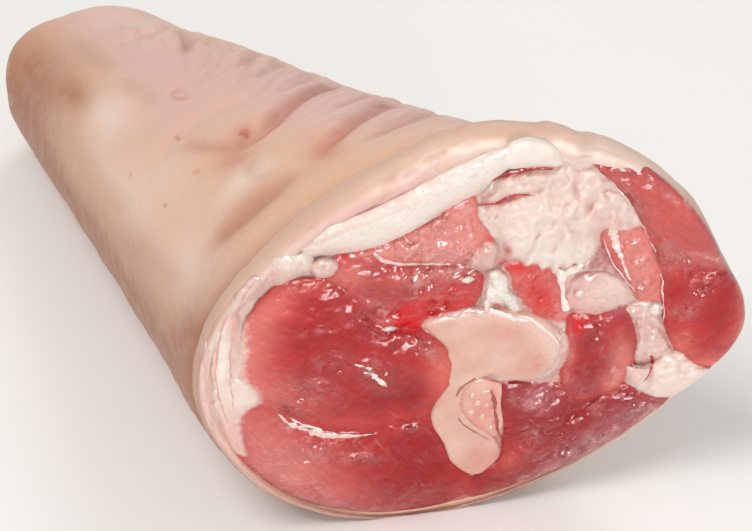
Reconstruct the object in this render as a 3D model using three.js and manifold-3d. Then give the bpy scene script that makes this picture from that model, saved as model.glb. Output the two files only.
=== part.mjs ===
// A raw salted pork hock lying on its side. It is a tapered barrel of meat in its rind, sawn
// across the thick end, where the muscles, the seams of fat and both shank bones show. The thin
// end is rounded over and has the small cut where the trotter came off. The bones are pieces of
// their own that run the whole way from one cut to the other.
//
// Millimetres, +Z up. The barrel runs along X, thin end towards -X and the big cut towards +X,
// and the origin is the middle of the underside of the whole hock's box.

import * as THREE from "three";
import { mergeVertices } from "three/addons/utils/BufferGeometryUtils.js";
import Module from "manifold-3d";

const wasm = await Module();
wasm.setup();

// ---- Driving dimensions ----

const LENGTH = 188; // thin end to the middle of the big cut
const CUT_YAW = 20; // degrees that the big cut turns towards the near side
const CUT_PITCH = -5.5; // degrees that it leans over, so that its top stands forward
const FLAT_DEPTH = 1.3; // how much of the round underside its own weight presses flat

// Sections of the barrel: distance from the thin end, half width, half height, and centre.
const SECTIONS = [
  { x: 0, halfWidth: 21.5, halfHeight: 19.5, y: -9.3, z: 20.6 },
  { x: 15, halfWidth: 24.5, halfHeight: 21.6, y: -8.9, z: 22.1 },
  { x: 56, halfWidth: 32.3, halfHeight: 29.7, y: -6.2, z: 29.9 },
  { x: 103, halfWidth: 39.4, halfHeight: 38.6, y: -5.2, z: 38.8 },
  { x: 150, halfWidth: 48.6, halfHeight: 49.2, y: -3.8, z: 49.4 },
  { x: LENGTH, halfWidth: 60, halfHeight: 60, y: 0, z: 52.8 },
];
// Radii of the big cut's outline about its middle, one every 22.5 degrees, anticlockwise from
// the far side as seen from in front of the cut.
const CUT_RADII = [
  66.2, 63.5, 65.6, 68.7, 69.3, 62.7, 59.0, 59.2,
  59.2, 57.7, 57.2, 55.6, 52.4, 50.2, 51.3, 56.8,
];
const CUT_RADIUS = 60; // the round that those radii are compared with
const OUTLINE_BEGINS = 140; // distance from the thin end where the barrel starts to take it

// The thin end: the length over which its rind rolls in, the small cut inside the roll, as a
// share of the barrel's width, the thickness of the roll's lip there, and how deep the cut lies.
const THIN_END = { roll: 10, cutShare: 0.55, lipShare: 0.08, recess: 3.5 };

// Muscles and fat that stand proud of the big cut: middle, half sizes along and across, degrees
// that the long way is turned, and how far they rise.
const SWELLINGS = [
  { y: -26, z: 5, along: 25, across: 24, turn: -15, rise: 3.6 }, // large near muscle
  { y: -26, z: -33, along: 30, across: 16, turn: -12, rise: 3.0 }, // muscle below it
  { y: -13, z: 27, along: 18, across: 12, turn: 25, rise: 2.0 }, // muscle under the fold
  { y: 45, z: 37, along: 22, across: 11, turn: -43, rise: 3.4 }, // far muscle, upper half
  { y: 55, z: 5, along: 18, across: 11, turn: 104, rise: 4.2 }, // far muscle, lower half
  { y: 38, z: 23, along: 14, across: 6, turn: 105, rise: 2.2 }, // muscle inside it
  { y: 33, z: -6, along: 14, across: 9, turn: 95, rise: 2.0 }, // muscle beyond the bone
  { y: 27, z: -28, along: 22, across: 11, turn: 40, rise: 1.4 }, // marbled muscle at the foot
  { y: 50, z: -14, along: 9, across: 5, turn: 20, rise: 2.4 }, // block of fat
  { y: 18, z: 41, along: 15, across: 14, turn: 0, rise: 6.0 }, // lump of fat
];
// The rolled-over edge of rind and fat along the top of the cut: the direction where it is
// thickest, how many degrees it runs each way, its width and its height over the cut.
const FOLD = { middle: 116, reach: 66, width: 17, rise: 6 };

// Creases that run round the barrel: distance from the thin end, middle and reach in degrees,
// depth and half width. The rind also swells in two knuckles at the thin end.
const CREASES = [
  { x: 40, middle: 78, reach: 60, depth: 1.1, width: 5 },
  { x: 84, middle: 92, reach: 55, depth: 1.0, width: 6 },
  { x: 108, middle: 112, reach: 50, depth: 1.4, width: 6 },
  { x: 132, middle: 118, reach: 48, depth: 1.6, width: 7 },
];
const KNUCKLES = [
  { x: 17, middle: 62, reach: 40, rise: 1.8, width: 15 },
  { x: 5, middle: 138, reach: 42, rise: 3.2, width: 15 },
];

// The shank bone: a round shaft that widens into a joint's hooked outline at the big cut, and
// the small bone that lies in its hollow. Places are measured from the section's middle.
const SHANK_BONE = {
  smallEnd: { y: -0.5, z: 1.6, radius: 7.4 },
  shaft: { x: 96, y: 1.5, z: -1.0, radius: 10.5 },
  outlineBegins: 120,
  outline: [
    [24, 2], [19, 9.5], [12, 13], [3, 15], [-8.5, 12], [-3.5, 4], [-1.5, -5], [-5.5, -15],
    [-5.5, -22], [-2, -30], [0.5, -38], [6, -42], [11, -36], [8, -26], [7, -14], [10, -9],
    [18, -11], [23, -6],
  ],
};
const SMALL_BONE = {
  smallEnd: { y: 1.4, z: -8.4, across: 2.4, along: 2.0 },
  shaft: { x: 96, y: 3.5, z: -12.6, across: 3.4, along: 3.6 },
  bigEnd: { y: 5.2, z: -17, across: 5.2, along: 11.0 },
};
const BONE_PROUD = 0.8; // how far the bones stand out of the meat at each cut
const GAP = 0.35; // clearance between neighbouring pieces
const ROOM_PROUD = 12; // how far past the cuts the bones' channels are cut

// How finely the surfaces are divided.
const AROUND = 60;
const BARREL_STEPS = 26;
const ROLL_STEPS = 4;
const CUT_RINGS = 13;
const BONE_AROUND = 32;
const BONE_STEPS = 12;

// ---- Curves and frames ----

const radians = THREE.MathUtils.degToRad;
const TURN = 2 * Math.PI;

// A smooth curve through values at given places, with the slopes taken from the neighbours.
function through(places, values, at) {
  const last = places.length - 1;
  const x = THREE.MathUtils.clamp(at, places[0], places[last]);
  let i = 0;
  while (i < last - 1 && x > places[i + 1]) i++;
  const slope = (k) => {
    const a = Math.max(k - 1, 0);
    const b = Math.min(k + 1, last);
    return (values[b] - values[a]) / (places[b] - places[a]);
  };
  const span = places[i + 1] - places[i];
  const u = (x - places[i]) / span;
  const h = u * u * (3 - 2 * u);
  const rise = u * (1 - u) * (1 - u) * slope(i) - u * u * (1 - u) * slope(i + 1);
  return values[i] * (1 - h) + values[i + 1] * h + span * rise;
}

// A smooth closed curve through evenly spaced radii, at an angle in radians.
function radiusAt(radii, angle) {
  const n = radii.length;
  const place = ((((angle / TURN) * n) % n) + n) % n;
  const i = Math.floor(place);
  const u = place - i;
  const [a, b, c, d] = [-1, 0, 1, 2].map((k) => radii[(i + k + n) % n]);
  return b + 0.5 * u * (c - a + u * (2 * a - 5 * b + 4 * c - d + u * (3 * (b - c) + d - a)));
}

const smoothstep = THREE.MathUtils.smoothstep;

// 1 in the middle of a bump, falling smoothly to 0 at its reach.
function bump(distance, reach) {
  const u = Math.min(Math.abs(distance) / reach, 1);
  return (1 - u * u) ** 2;
}

// The smaller angle between two directions, in degrees.
function apart(a, b) {
  return Math.abs(THREE.MathUtils.euclideanModulo(a - b + 180, 360) - 180);
}

const SECTION_PLACES = SECTIONS.map((s) => s.x);
const sectionValue = (key, x) => through(SECTION_PLACES, SECTIONS.map((s) => s[key]), x);

// The plane of a section: its middle, and the directions across it, up it and out of it. The
// planes turn gradually from square across the barrel to the lean of the big cut.
function planeAt(x) {
  const share = Math.max(x / LENGTH, 0) ** 2;
  const yaw = radians(CUT_YAW) * share;
  const pitch = radians(CUT_PITCH) * share;
  const out = new THREE.Vector3(
    Math.cos(yaw) * Math.cos(pitch),
    -Math.sin(yaw) * Math.cos(pitch),
    Math.sin(pitch),
  );
  const across = new THREE.Vector3(Math.sin(yaw), Math.cos(yaw), 0);
  const up = new THREE.Vector3().crossVectors(out, across);
  const middle = new THREE.Vector3(x, sectionValue("y", x), sectionValue("z", x));
  return { middle, across, up, out };
}

function inPlane(plane, y, z, forward = 0) {
  return plane.middle
    .clone()
    .addScaledVector(plane.across, y)
    .addScaledVector(plane.up, z)
    .addScaledVector(plane.out, forward);
}

// The soft underside settles a little where it lies, and nothing is lower than that.
function pressFlat(point) {
  point.z = Math.max(point.z - FLAT_DEPTH, 0);
  return point;
}

// ---- The meat in its rind ----

// Distance from a section's middle to the rind, at a place along the barrel and an angle. The
// oval sections turn gradually into the outline of the big cut.
function rindRadius(x, angle) {
  const a = sectionValue("halfWidth", x);
  const b = sectionValue("halfHeight", x);
  const ovalRadius = (a * b) / Math.hypot(b * Math.cos(angle), a * Math.sin(angle));
  const share = Math.max((x - OUTLINE_BEGINS) / (LENGTH - OUTLINE_BEGINS), 0) ** 1.5;
  const outline = radiusAt(CUT_RADII, angle) / CUT_RADIUS;
  let radius = ovalRadius * THREE.MathUtils.lerp(1, outline, share);
  const degrees = THREE.MathUtils.radToDeg(angle);
  for (const c of CREASES) {
    radius -= c.depth * bump(x - c.x, c.width) * bump(apart(degrees, c.middle), c.reach);
  }
  for (const k of KNUCKLES) {
    radius += k.rise * bump(x - k.x, k.width) * bump(apart(degrees, k.middle), k.reach);
  }
  return radius;
}

// How far the big cut's surface stands out at a point of its plane.
function cutRelief(y, z) {
  let height = 0;
  for (const s of SWELLINGS) {
    const turn = radians(s.turn);
    const along = (y - s.y) * Math.cos(turn) + (z - s.z) * Math.sin(turn);
    const across = (z - s.z) * Math.cos(turn) - (y - s.y) * Math.sin(turn);
    const share = Math.min(Math.hypot(along / s.along, across / s.across), 1);
    height = Math.max(height, s.rise * (1 - share ** 3));
  }
  return height;
}

// The fold's height over the cut, at an angle and a distance in from the rind's edge.
function foldRise(angle, inward) {
  const share = bump(apart(THREE.MathUtils.radToDeg(angle), FOLD.middle), FOLD.reach);
  return FOLD.rise * share * bump(inward - FOLD.width / 2, FOLD.width / 2);
}

// The rings of points that make the hock's outside, from the thin end to the middle of the cut.
function hockRings() {
  const rings = [];
  const ring = (make) =>
    rings.push(Array.from({ length: AROUND }, (_, i) => pressFlat(make((TURN * i) / AROUND))));

  const around = (x, share) =>
    ring((angle) => {
      const r = rindRadius(x, angle) * share;
      return inPlane(planeAt(x), r * Math.cos(angle), r * Math.sin(angle));
    });

  const { roll, cutShare, lipShare, recess } = THIN_END;
  around(recess, cutShare / 2);
  around(recess, cutShare);
  for (let k = ROLL_STEPS; k > 0; k--) {
    const lean = (Math.PI / 2) * (k / ROLL_STEPS);
    around(roll * (1 - Math.sin(lean)), THREE.MathUtils.lerp(cutShare + lipShare, 1, Math.cos(lean)));
  }
  for (let k = 0; k <= BARREL_STEPS; k++) {
    around(THREE.MathUtils.lerp(roll, LENGTH, k / BARREL_STEPS), 1);
  }
  const cut = planeAt(LENGTH);
  for (let k = 1; k < CUT_RINGS; k++) {
    ring((angle) => {
      const edge = radiusAt(CUT_RADII, angle);
      const r = edge * (1 - k / CUT_RINGS);
      const [y, z] = [r * Math.cos(angle), r * Math.sin(angle)];
      const settled = smoothstep(edge - r, 0, FOLD.width / 2);
      return inPlane(cut, y, z, cutRelief(y, z) * settled + foldRise(angle, edge - r));
    });
  }
  return rings;
}

// A closed mesh from rings of points, with a point in the middle of each end.
function skinRings(rings, startTip, endTip) {
  const n = rings[0].length;
  const points = [...rings.flat(), startTip, endTip];
  const faces = [];
  for (let k = 0; k + 1 < rings.length; k++) {
    for (let i = 0; i < n; i++) {
      const j = (i + 1) % n;
      const [a, b] = [k * n + i, k * n + j];
      const [c, d] = [a + n, b + n];
      faces.push(a, b, d, a, d, c);
    }
  }
  const last = (rings.length - 1) * n;
  const [start, end] = [rings.length * n, rings.length * n + 1];
  for (let i = 0; i < n; i++) {
    const j = (i + 1) % n;
    faces.push(start, j, i);
    faces.push(end, last + i, last + j);
  }
  return new THREE.BufferGeometry()
    .setAttribute("position", new THREE.Float32BufferAttribute(points.flatMap((p) => p.toArray()), 3))
    .setIndex(faces);
}

function hockGeometry() {
  const startTip = inPlane(planeAt(THIN_END.recess), 0, 0);
  const endTip = inPlane(planeAt(LENGTH), 0, 0, cutRelief(0, 0));
  return skinRings(hockRings(), pressFlat(startTip), pressFlat(endTip));
}

// ---- The bones ----

// A bone from one cut to the other. The given function gives its outline at a place along the
// barrel; `proud` sets how far it stands out of both cuts and `grow` how much fatter it is made.
function boneGeometry(outline, proud, grow) {
  const ringAt = (x, forward) => {
    const plane = planeAt(x);
    return grown(outline(x), grow).map((p) => pressFlat(inPlane(plane, p.x, p.y, forward)));
  };
  const begin = THIN_END.recess;
  const rings = [ringAt(begin, -proud)];
  for (let k = 0; k <= BONE_STEPS; k++) {
    rings.push(ringAt(THREE.MathUtils.lerp(begin, LENGTH, k / BONE_STEPS), 0));
  }
  rings.push(ringAt(LENGTH, proud));
  const middle = (ring) =>
    ring.reduce((sum, p) => sum.add(p), new THREE.Vector3()).divideScalar(ring.length);
  return skinRings(rings, middle(rings[0]), middle(rings[rings.length - 1]));
}

// A closed outline moved outwards by a distance.
function grown(outline, distance) {
  const n = outline.length;
  return outline.map((p, i) => {
    const along = outline[(i + 1) % n].clone().sub(outline[(i + n - 1) % n]).normalize();
    return new THREE.Vector2(p.x + along.y * distance, p.y - along.x * distance);
  });
}

// A round or oval outline about a middle.
function oval({ y, z, across, along }) {
  return Array.from({ length: BONE_AROUND }, (_, i) => {
    const angle = (TURN * i) / BONE_AROUND;
    return new THREE.Vector2(y + across * Math.cos(angle), z + along * Math.sin(angle));
  });
}

// A bone's sizes at a place along the barrel, from those at its two ends and in its shaft.
function boneSizes({ smallEnd, shaft, bigEnd }, x) {
  const places = [THIN_END.recess, shaft.x, LENGTH];
  const sizes = {};
  for (const key of Object.keys(smallEnd)) {
    sizes[key] = through(places, [smallEnd[key], shaft[key], bigEnd[key]], x);
  }
  return sizes;
}

const hookedOutline = new THREE.CatmullRomCurve3(
  SHANK_BONE.outline.map(([y, z]) => new THREE.Vector3(y, z, 0)),
  true,
)
  .getSpacedPoints(BONE_AROUND)
  .slice(0, BONE_AROUND);

function shankOutline(x) {
  const { smallEnd, shaft, outlineBegins } = SHANK_BONE;
  const { y, z, radius } = boneSizes({ smallEnd, shaft, bigEnd: shaft }, x);
  const share = smoothstep(x, outlineBegins, LENGTH);
  return oval({ y, z, across: radius, along: radius }).map((p, i) =>
    p.lerp(new THREE.Vector2(hookedOutline[i].x, hookedOutline[i].y), share),
  );
}

const smallBoneOutline = (x) => oval(boneSizes(SMALL_BONE, x));

// ---- Cutting pieces to fit each other ----

function solidOf(geometry) {
  const bare = new THREE.BufferGeometry()
    .setAttribute("position", geometry.getAttribute("position"))
    .setIndex(geometry.getIndex());
  const merged = mergeVertices(bare, 1e-4);
  return new wasm.Manifold(
    new wasm.Mesh({
      numProp: 3,
      vertProperties: new Float32Array(merged.attributes.position.array),
      triVerts: new Uint32Array(merged.index.array),
    }),
  );
}

function geometryOf(solid) {
  const made = solid.getMesh();
  const geometry = new THREE.BufferGeometry()
    .setAttribute("position", new THREE.BufferAttribute(new Float32Array(made.vertProperties), 3))
    .setIndex(new THREE.BufferAttribute(new Uint32Array(made.triVerts), 1));
  geometry.computeVertexNormals();
  return geometry;
}

const boneSolid = (outline, proud, grow) => solidOf(boneGeometry(outline, proud, grow));

const smallBone = boneSolid(smallBoneOutline, BONE_PROUD, 0);
const smallBoneRoom = boneSolid(smallBoneOutline, ROOM_PROUD, GAP);
const shankBone = boneSolid(shankOutline, BONE_PROUD, 0).subtract(smallBoneRoom);
const boneRoom = boneSolid(shankOutline, ROOM_PROUD, GAP).add(smallBoneRoom);
const hock = solidOf(hockGeometry()).subtract(boneRoom);

// ---- The scene graph ----

const MATERIALS = {
  meat: new THREE.MeshStandardMaterial({ color: 0xc98f7c, roughness: 0.45, metalness: 0 }),
  bone: new THREE.MeshStandardMaterial({ color: 0xe0b9a2, roughness: 0.5, metalness: 0 }),
  marrow: new THREE.MeshStandardMaterial({ color: 0xdc9c88, roughness: 0.4, metalness: 0 }),
};

function piece(name, solid, material) {
  const mesh = new THREE.Mesh(geometryOf(solid), material);
  mesh.name = name;
  return mesh;
}

const group = new THREE.Group();
group.add(
  piece("hock_meat", hock, MATERIALS.meat),
  piece("shank_bone", shankBone, MATERIALS.bone),
  piece("small_bone", smallBone, MATERIALS.marrow),
);

// The origin goes to the middle of the underside.
const box = new THREE.Box3().setFromObject(group);
const middle = box.getCenter(new THREE.Vector3());
group.position.set(-middle.x, -middle.y, -box.min.z);

export default group;
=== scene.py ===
"""A raw salted pork hock on its side: wrinkled rind, a rolled edge of fat, and the sawn big cut.

Lengths are in millimetres in the hock's own terms, and each mesh is written in metres in the frame's
axes. Places on the rind are (distance from the thin end, degrees round the barrel), with 90 degrees on
top and 180 on the near side. Places on the big cut are (across, up) from its middle.
"""

import logging  # noqa: E402
import math  # noqa: E402
from dataclasses import dataclass, field  # noqa: E402
from enum import Enum  # noqa: E402
from itertools import product  # noqa: E402
from typing import Sequence  # noqa: E402

import bpy  # noqa: E402
import numpy as np  # noqa: E402
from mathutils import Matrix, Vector  # noqa: E402


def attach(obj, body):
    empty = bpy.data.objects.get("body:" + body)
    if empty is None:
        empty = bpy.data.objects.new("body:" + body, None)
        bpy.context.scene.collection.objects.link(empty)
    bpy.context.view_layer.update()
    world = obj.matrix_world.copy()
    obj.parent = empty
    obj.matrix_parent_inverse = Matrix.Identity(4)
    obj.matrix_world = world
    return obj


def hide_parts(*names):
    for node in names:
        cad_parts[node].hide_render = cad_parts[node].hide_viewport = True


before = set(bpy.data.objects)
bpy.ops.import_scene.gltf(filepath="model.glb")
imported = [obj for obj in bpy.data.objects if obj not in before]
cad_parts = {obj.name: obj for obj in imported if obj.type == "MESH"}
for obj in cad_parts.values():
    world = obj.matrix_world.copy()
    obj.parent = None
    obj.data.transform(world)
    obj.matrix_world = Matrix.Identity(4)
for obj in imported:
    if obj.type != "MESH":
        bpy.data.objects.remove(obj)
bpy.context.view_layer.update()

MM = 0.001
BODY = "root"

Array = np.ndarray
Tone = tuple[float, float, float]
Place = tuple[float, float]
Piece = bpy.types.Object
Material = bpy.types.Material
log = logging.getLogger("hock")


class Slot(Enum):
    """The record's material slots."""

    RIND = "rind_and_meat"
    BONE = "bone"
    MARROW = "marrow_bone"


class Mark(Enum):
    """What the vertices of a piece carry for its finish, from 0 to 1."""

    LEAN = "lean"
    FAT = "fat"
    FIBRE = "fibre"
    DARK = "dark"
    GLOW = "glow"
    SALMON = "salmon"
    VIOLET = "violet"
    BLOOD = "blood"
    # pale flecks and streaks of the lean, partly painted glints of the wet cut
    FLECK = "fleck_and_glint"
    WET = "wet"
    # tan of the rind, with painted shade on its near side, its underside and in the groove at the big cut
    TAN = "tan_and_shade"
    BLUSH = "blush"
    # cream patches, some of them painted highlights on the rind
    CREAM = "cream"
    RED = "red"
    # painted shade in creases and grooves: darker on the rind, pinker in the fat
    CREASE = "crease"
    WHITE = "white"


# ---- Curves, patches and grain ----


def through(places: Array, values: Array, at: Array) -> Array:
    """Follows a smooth curve through values, with slopes from the neighbours.

    Args:
        places: Where the values stand, rising.
        values: The value at each place.
        at: Where the curve is wanted.

    Returns:
        The curve's value at each wanted place.
    """
    last = len(places) - 1
    x = np.clip(at, places[0], places[-1])
    i = np.clip(np.searchsorted(places, x, side="left") - 1, 0, last - 1)
    before = np.maximum(np.arange(last + 1) - 1, 0)
    after = np.minimum(np.arange(last + 1) + 1, last)
    slope = (values[after] - values[before]) / (places[after] - places[before])
    span = places[i + 1] - places[i]
    u = (x - places[i]) / span
    blend = u * u * (3 - 2 * u)
    rise = u * (1 - u) ** 2 * slope[i] - u * u * (1 - u) * slope[i + 1]
    return values[i] * (1 - blend) + values[i + 1] * blend + span * rise


def smooth_path(points: Sequence[Sequence[float]], count: int, closed: bool = False) -> Array:
    """Runs a smooth curve through points and spaces it evenly.

    Args:
        points: The points, with any further values such as a width.
        count: How many points the result has.
        closed: Whether the curve returns to its first point.

    Returns:
        An array of count rows.
    """
    p = np.array(points, float)
    if closed:
        p = np.vstack([p[-1:], p, p[:2]])
    else:
        p = np.vstack([2 * p[0] - p[1], p, 2 * p[-1] - p[-2]])
    a, b, c, d = p[:-3], p[1:-2], p[2:-1], p[3:]
    u = np.linspace(0, 1, 24, endpoint=False)[:, None, None]
    curve = b + 0.5 * u * (c - a + u * (2 * a - 5 * b + 4 * c - d + u * (3 * (b - c) + d - a)))
    curve = curve.transpose(1, 0, 2).reshape(-1, p.shape[1])
    end = curve[:1] if closed else p[-2:-1]
    curve = np.vstack([curve, end])
    run = np.r_[0, np.cumsum(np.linalg.norm(np.diff(curve[:, :2], axis=0), axis=1))]
    wanted = np.linspace(0, run[-1], count, endpoint=not closed)
    return np.stack([np.interp(wanted, run, curve[:, k]) for k in range(p.shape[1])], 1)


def bump(distance: Array, reach: Array | float) -> Array:
    """Gives 1 in the middle of a bump, falling smoothly to 0 at its reach."""
    return (1 - np.minimum(np.abs(distance) / reach, 1) ** 2) ** 2


def step(value: Array, low: float, high: float) -> Array:
    """Rises smoothly from 0 at low to 1 at high."""
    u = np.clip((value - low) / (high - low), 0, 1)
    return u * u * (3 - 2 * u)


def apart(a: Array, b: float) -> Array:
    """Gives the smaller angle between two directions, in degrees."""
    return np.abs((a - b + 180) % 360 - 180)


class Grain:
    """Random relief that is the same on every run."""

    def __init__(self, seed: int) -> None:
        """Draws the grain's lattice from a seed.

        Args:
            seed: What the draw starts from.
        """
        draw = np.random.default_rng(seed)
        self.order = draw.permutation(256)
        slopes = draw.normal(size=(256, 3))
        self.slopes = slopes / np.linalg.norm(slopes, axis=1, keepdims=True)

    def _pick(self, cell: Array) -> Array:
        """Gives each lattice cell its own number from 0 to 255.

        Args:
            cell: The cells' whole coordinates.

        Returns:
            The numbers.
        """
        first = self.order[cell[..., 0] & 255]
        second = self.order[(first + cell[..., 1]) & 255]
        return self.order[(second + cell[..., 2]) & 255]

    def at(self, points: Array) -> Array:
        """Gives soft noise from about -1 to 1, with features about one unit wide.

        Args:
            points: Where the noise is wanted.

        Returns:
            The noise.
        """
        cell = np.floor(points).astype(int)
        inside = points - cell
        ease = inside**3 * (inside * (inside * 6 - 15) + 10)
        total = np.zeros(points.shape[:-1])
        for corner in product((0, 1), repeat=3):
            offset = np.array(corner)
            slope = self.slopes[self._pick(cell + offset)]
            share = np.where(offset, ease, 1 - ease).prod(-1)
            total += (slope * (inside - offset)).sum(-1) * share
        return total * 1.6

    def layers(self, points: Array, size: float, count: int = 3) -> Array:
        """Adds finer and finer noise, each layer half as wide and as strong as the last.

        Args:
            points: Where the noise is wanted.
            size: Width of the largest features.
            count: How many layers are added.

        Returns:
            Noise from about -1 to 1.
        """
        shares = 0.5 ** np.arange(count)
        noise = [share * self.at(points / size * 2**k + 17.3 * k) for k, share in enumerate(shares)]
        return sum(noise) / shares.sum() * 1.3


GRAIN = Grain(11)


def flat(y: Array, z: Array, depth: float = 0.0) -> Array:
    """Stacks two coordinates and a fixed third one for the grain."""
    return np.stack([y, z, np.full_like(y, depth)], -1)


@dataclass(frozen=True)
class Patch:
    """A soft oval patch on the rind or on the cut."""

    y: float
    z: float
    across: float
    along: float
    strength: float = 1.0
    turn: float = 0.0

    def weight(self, y: Array, z: Array) -> Array:
        """Gives the patch's strength at each place, from its middle outwards.

        Args:
            y: Places across.
            z: Places up.

        Returns:
            The strength at each place.
        """
        turn = math.radians(self.turn)
        a = (y - self.y) * math.cos(turn) + (z - self.z) * math.sin(turn)
        b = (z - self.z) * math.cos(turn) - (y - self.y) * math.sin(turn)
        return self.strength * np.exp(-((a / self.across) ** 2) - (b / self.along) ** 2)


P = Patch  # short, for the many patches that the rind and the cut are laid out with


def cover(patches: Sequence[Patch], y: Array, z: Array) -> Array:
    """Adds patches together, up to 1.

    Args:
        patches: The patches.
        y: Places across.
        z: Places up.

    Returns:
        Their sum at each place.
    """
    total = np.zeros_like(y)
    for patch in patches:
        total += patch.weight(y, z)
    return np.clip(total, 0, 1)


def to_path(path: Sequence[Place], y: Array, z: Array, scale: Array) -> tuple[Array, Array, Array]:
    """Measures how places lie to a path.

    Args:
        path: Points of the path.
        y: First coordinate of the places.
        z: Second coordinate of the places.
        scale: Length of one unit of the second coordinate.

    Returns:
        The distance to the path, 1 on its left or -1 on its right, and the share of its length passed.
    """
    points = smooth_path(path, 5 * len(path))
    best = np.full(y.shape, np.inf)
    side = np.zeros(y.shape)
    share = np.zeros(y.shape)
    for k, (start, end) in enumerate(zip(points[:-1], points[1:])):
        along_y, along_z = end[0] - start[0], (end[1] - start[1]) * scale
        off_y, off_z = y - start[0], (z - start[1]) * scale
        u = np.clip((off_y * along_y + off_z * along_z) / (along_y**2 + along_z**2), 0, 1)
        gap = np.hypot(off_y - u * along_y, off_z - u * along_z)
        nearer = gap < best
        best = np.where(nearer, gap, best)
        side = np.where(nearer, np.sign(along_y * off_z - along_z * off_y), side)
        share = np.where(nearer, (k + u) / (len(points) - 1), share)
    return best, side, share


def polar(radius: Array, degrees: Array) -> tuple[Array, Array]:
    """Turns radii and directions in degrees into places across and up."""
    return radius * np.cos(np.radians(degrees)), radius * np.sin(np.radians(degrees))


def oval(y: float, z: float, wide: float, high: float, turn: int) -> tuple[Place, ...]:
    """Lists points round an oval, one every so many degrees."""
    angles = np.radians(np.arange(0, 360, turn))
    return tuple((y + wide * math.cos(a), z + high * math.sin(a)) for a in angles)


# ---- Working in Blender ----


def only(piece: Piece) -> None:
    """Selects one object alone and makes it active.

    Args:
        piece: The object.
    """
    bpy.ops.object.select_all(action="DESELECT")
    piece.select_set(True)
    bpy.context.view_layer.objects.active = piece


def tidy_faces(piece: Piece) -> None:
    """Merges doubled points, turns every face outwards and shades the piece smooth.

    Args:
        piece: The piece.
    """
    only(piece)
    bpy.ops.object.mode_set(mode="EDIT")
    bpy.ops.mesh.select_all(action="SELECT")
    bpy.ops.mesh.remove_doubles(threshold=0.000002)
    bpy.ops.mesh.normals_make_consistent(inside=False)
    bpy.ops.object.mode_set(mode="OBJECT")
    bpy.ops.object.shade_smooth()


def mark(piece: Piece, name: Mark, values: Array) -> None:
    """Writes one value for each vertex where the finish can read it."""
    layer = piece.data.attributes.new(name.value, "FLOAT", "POINT")
    layer.data.foreach_set("value", np.clip(values, 0, 1).astype(np.float32).ravel())


def mark_fibres(piece: Piece, places: Array) -> None:
    """Writes the places, in millimetres, from which the finish draws the fibres."""
    layer = piece.data.attributes.new(Mark.FIBRE.value, "FLOAT_VECTOR", "POINT")
    layer.data.foreach_set("vector", places.astype(np.float32).ravel())


def sheet(name: str, steps: int, segments: int) -> Piece:
    """Adds a flat grid two metres square, which is then shaped into a piece.

    Args:
        name: The piece's name.
        steps: How many faces it has one way.
        segments: How many faces it has the other way.

    Returns:
        The grid.
    """
    bpy.ops.object.select_all(action="DESELECT")
    bpy.ops.mesh.primitive_grid_add(x_subdivisions=steps, y_subdivisions=segments, size=2.0)
    piece = bpy.context.object
    piece.name = piece.data.name = name
    return piece


def vertices(piece: Piece) -> Array:
    """Reads a mesh's vertices as rows, in metres.

    Args:
        piece: The piece.

    Returns:
        The vertices.
    """
    points = np.empty(len(piece.data.vertices) * 3)
    piece.data.vertices.foreach_get("co", points)
    return points.reshape(-1, 3)


def move_vertices(piece: Piece, points: Array) -> None:
    """Puts a mesh's vertices at new places, in metres."""
    piece.data.vertices.foreach_set("co", points.astype(np.float32).ravel())
    piece.data.update()


def closed_skin(name: str, rows: Array, tips: Array, marks: dict[Mark, Array] | None = None) -> Piece:
    """Lays a sphere's rings and segments over rows of points, so that the skin is closed.

    Args:
        name: Name of the new piece.
        rows: Points in metres, as rings by segments by three.
        tips: The points that close the first and the last ring.
        marks: Values for each point of the rows.

    Returns:
        The new piece.
    """
    rings, segments = rows.shape[:2]
    bpy.ops.object.select_all(action="DESELECT")
    bpy.ops.mesh.primitive_uv_sphere_add(segments=segments, ring_count=rings + 1, radius=1.0)
    piece = bpy.context.object
    piece.name = piece.data.name = name
    ball = vertices(piece)
    ring = np.rint(np.arccos(np.clip(ball[:, 2], -1, 1)) / math.pi * (rings + 1)).astype(int) - 1
    turn = np.arctan2(ball[:, 1], ball[:, 0]) / (2 * math.pi) * segments
    segment = np.rint(turn).astype(int) % segments
    inner = (ring >= 0) & (ring < rings)
    places = np.where((ring < 0)[:, None], tips[0], tips[1])
    places[inner] = rows[ring[inner], segment[inner]]
    move_vertices(piece, places)
    for key, values in (marks or {}).items():
        end = np.where(ring < 0, values[0].mean(), values[-1].mean())
        end[inner] = values[ring[inner], segment[inner]]
        mark(piece, key, end)
    tidy_faces(piece)
    return piece


def apply_modifier(piece: Piece, kind: str, settings: dict[str, object]) -> None:
    """Adds a modifier, sets it and applies it.

    Args:
        piece: The object.
        kind: The modifier's type.
        settings: Values of its properties.
    """
    only(piece)
    modifier = piece.modifiers.new(kind.lower(), kind)
    for key, value in settings.items():
        setattr(modifier, key, value)
    bpy.ops.object.modifier_apply(modifier=modifier.name)


def weld(pieces: Sequence[Piece], name: str, voxel: float, rounds: int) -> Piece:
    """Joins pieces that run into each other and makes one smooth skin of them.

    Args:
        pieces: The pieces, of which the first is kept.
        name: Name of the result.
        voxel: Size of the new faces in millimetres.
        rounds: How often the skin is smoothed.

    Returns:
        The joined piece.
    """
    bpy.ops.object.select_all(action="DESELECT")
    for piece in pieces:
        piece.select_set(True)
    bpy.context.view_layer.objects.active = pieces[0]
    bpy.ops.object.join()
    joined = pieces[0]
    joined.name = joined.data.name = name
    apply_modifier(joined, "REMESH", {"mode": "VOXEL", "voxel_size": voxel * MM})
    apply_modifier(joined, "SMOOTH", {"factor": 0.5, "iterations": rounds})
    bpy.ops.object.shade_smooth()
    return joined


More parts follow.
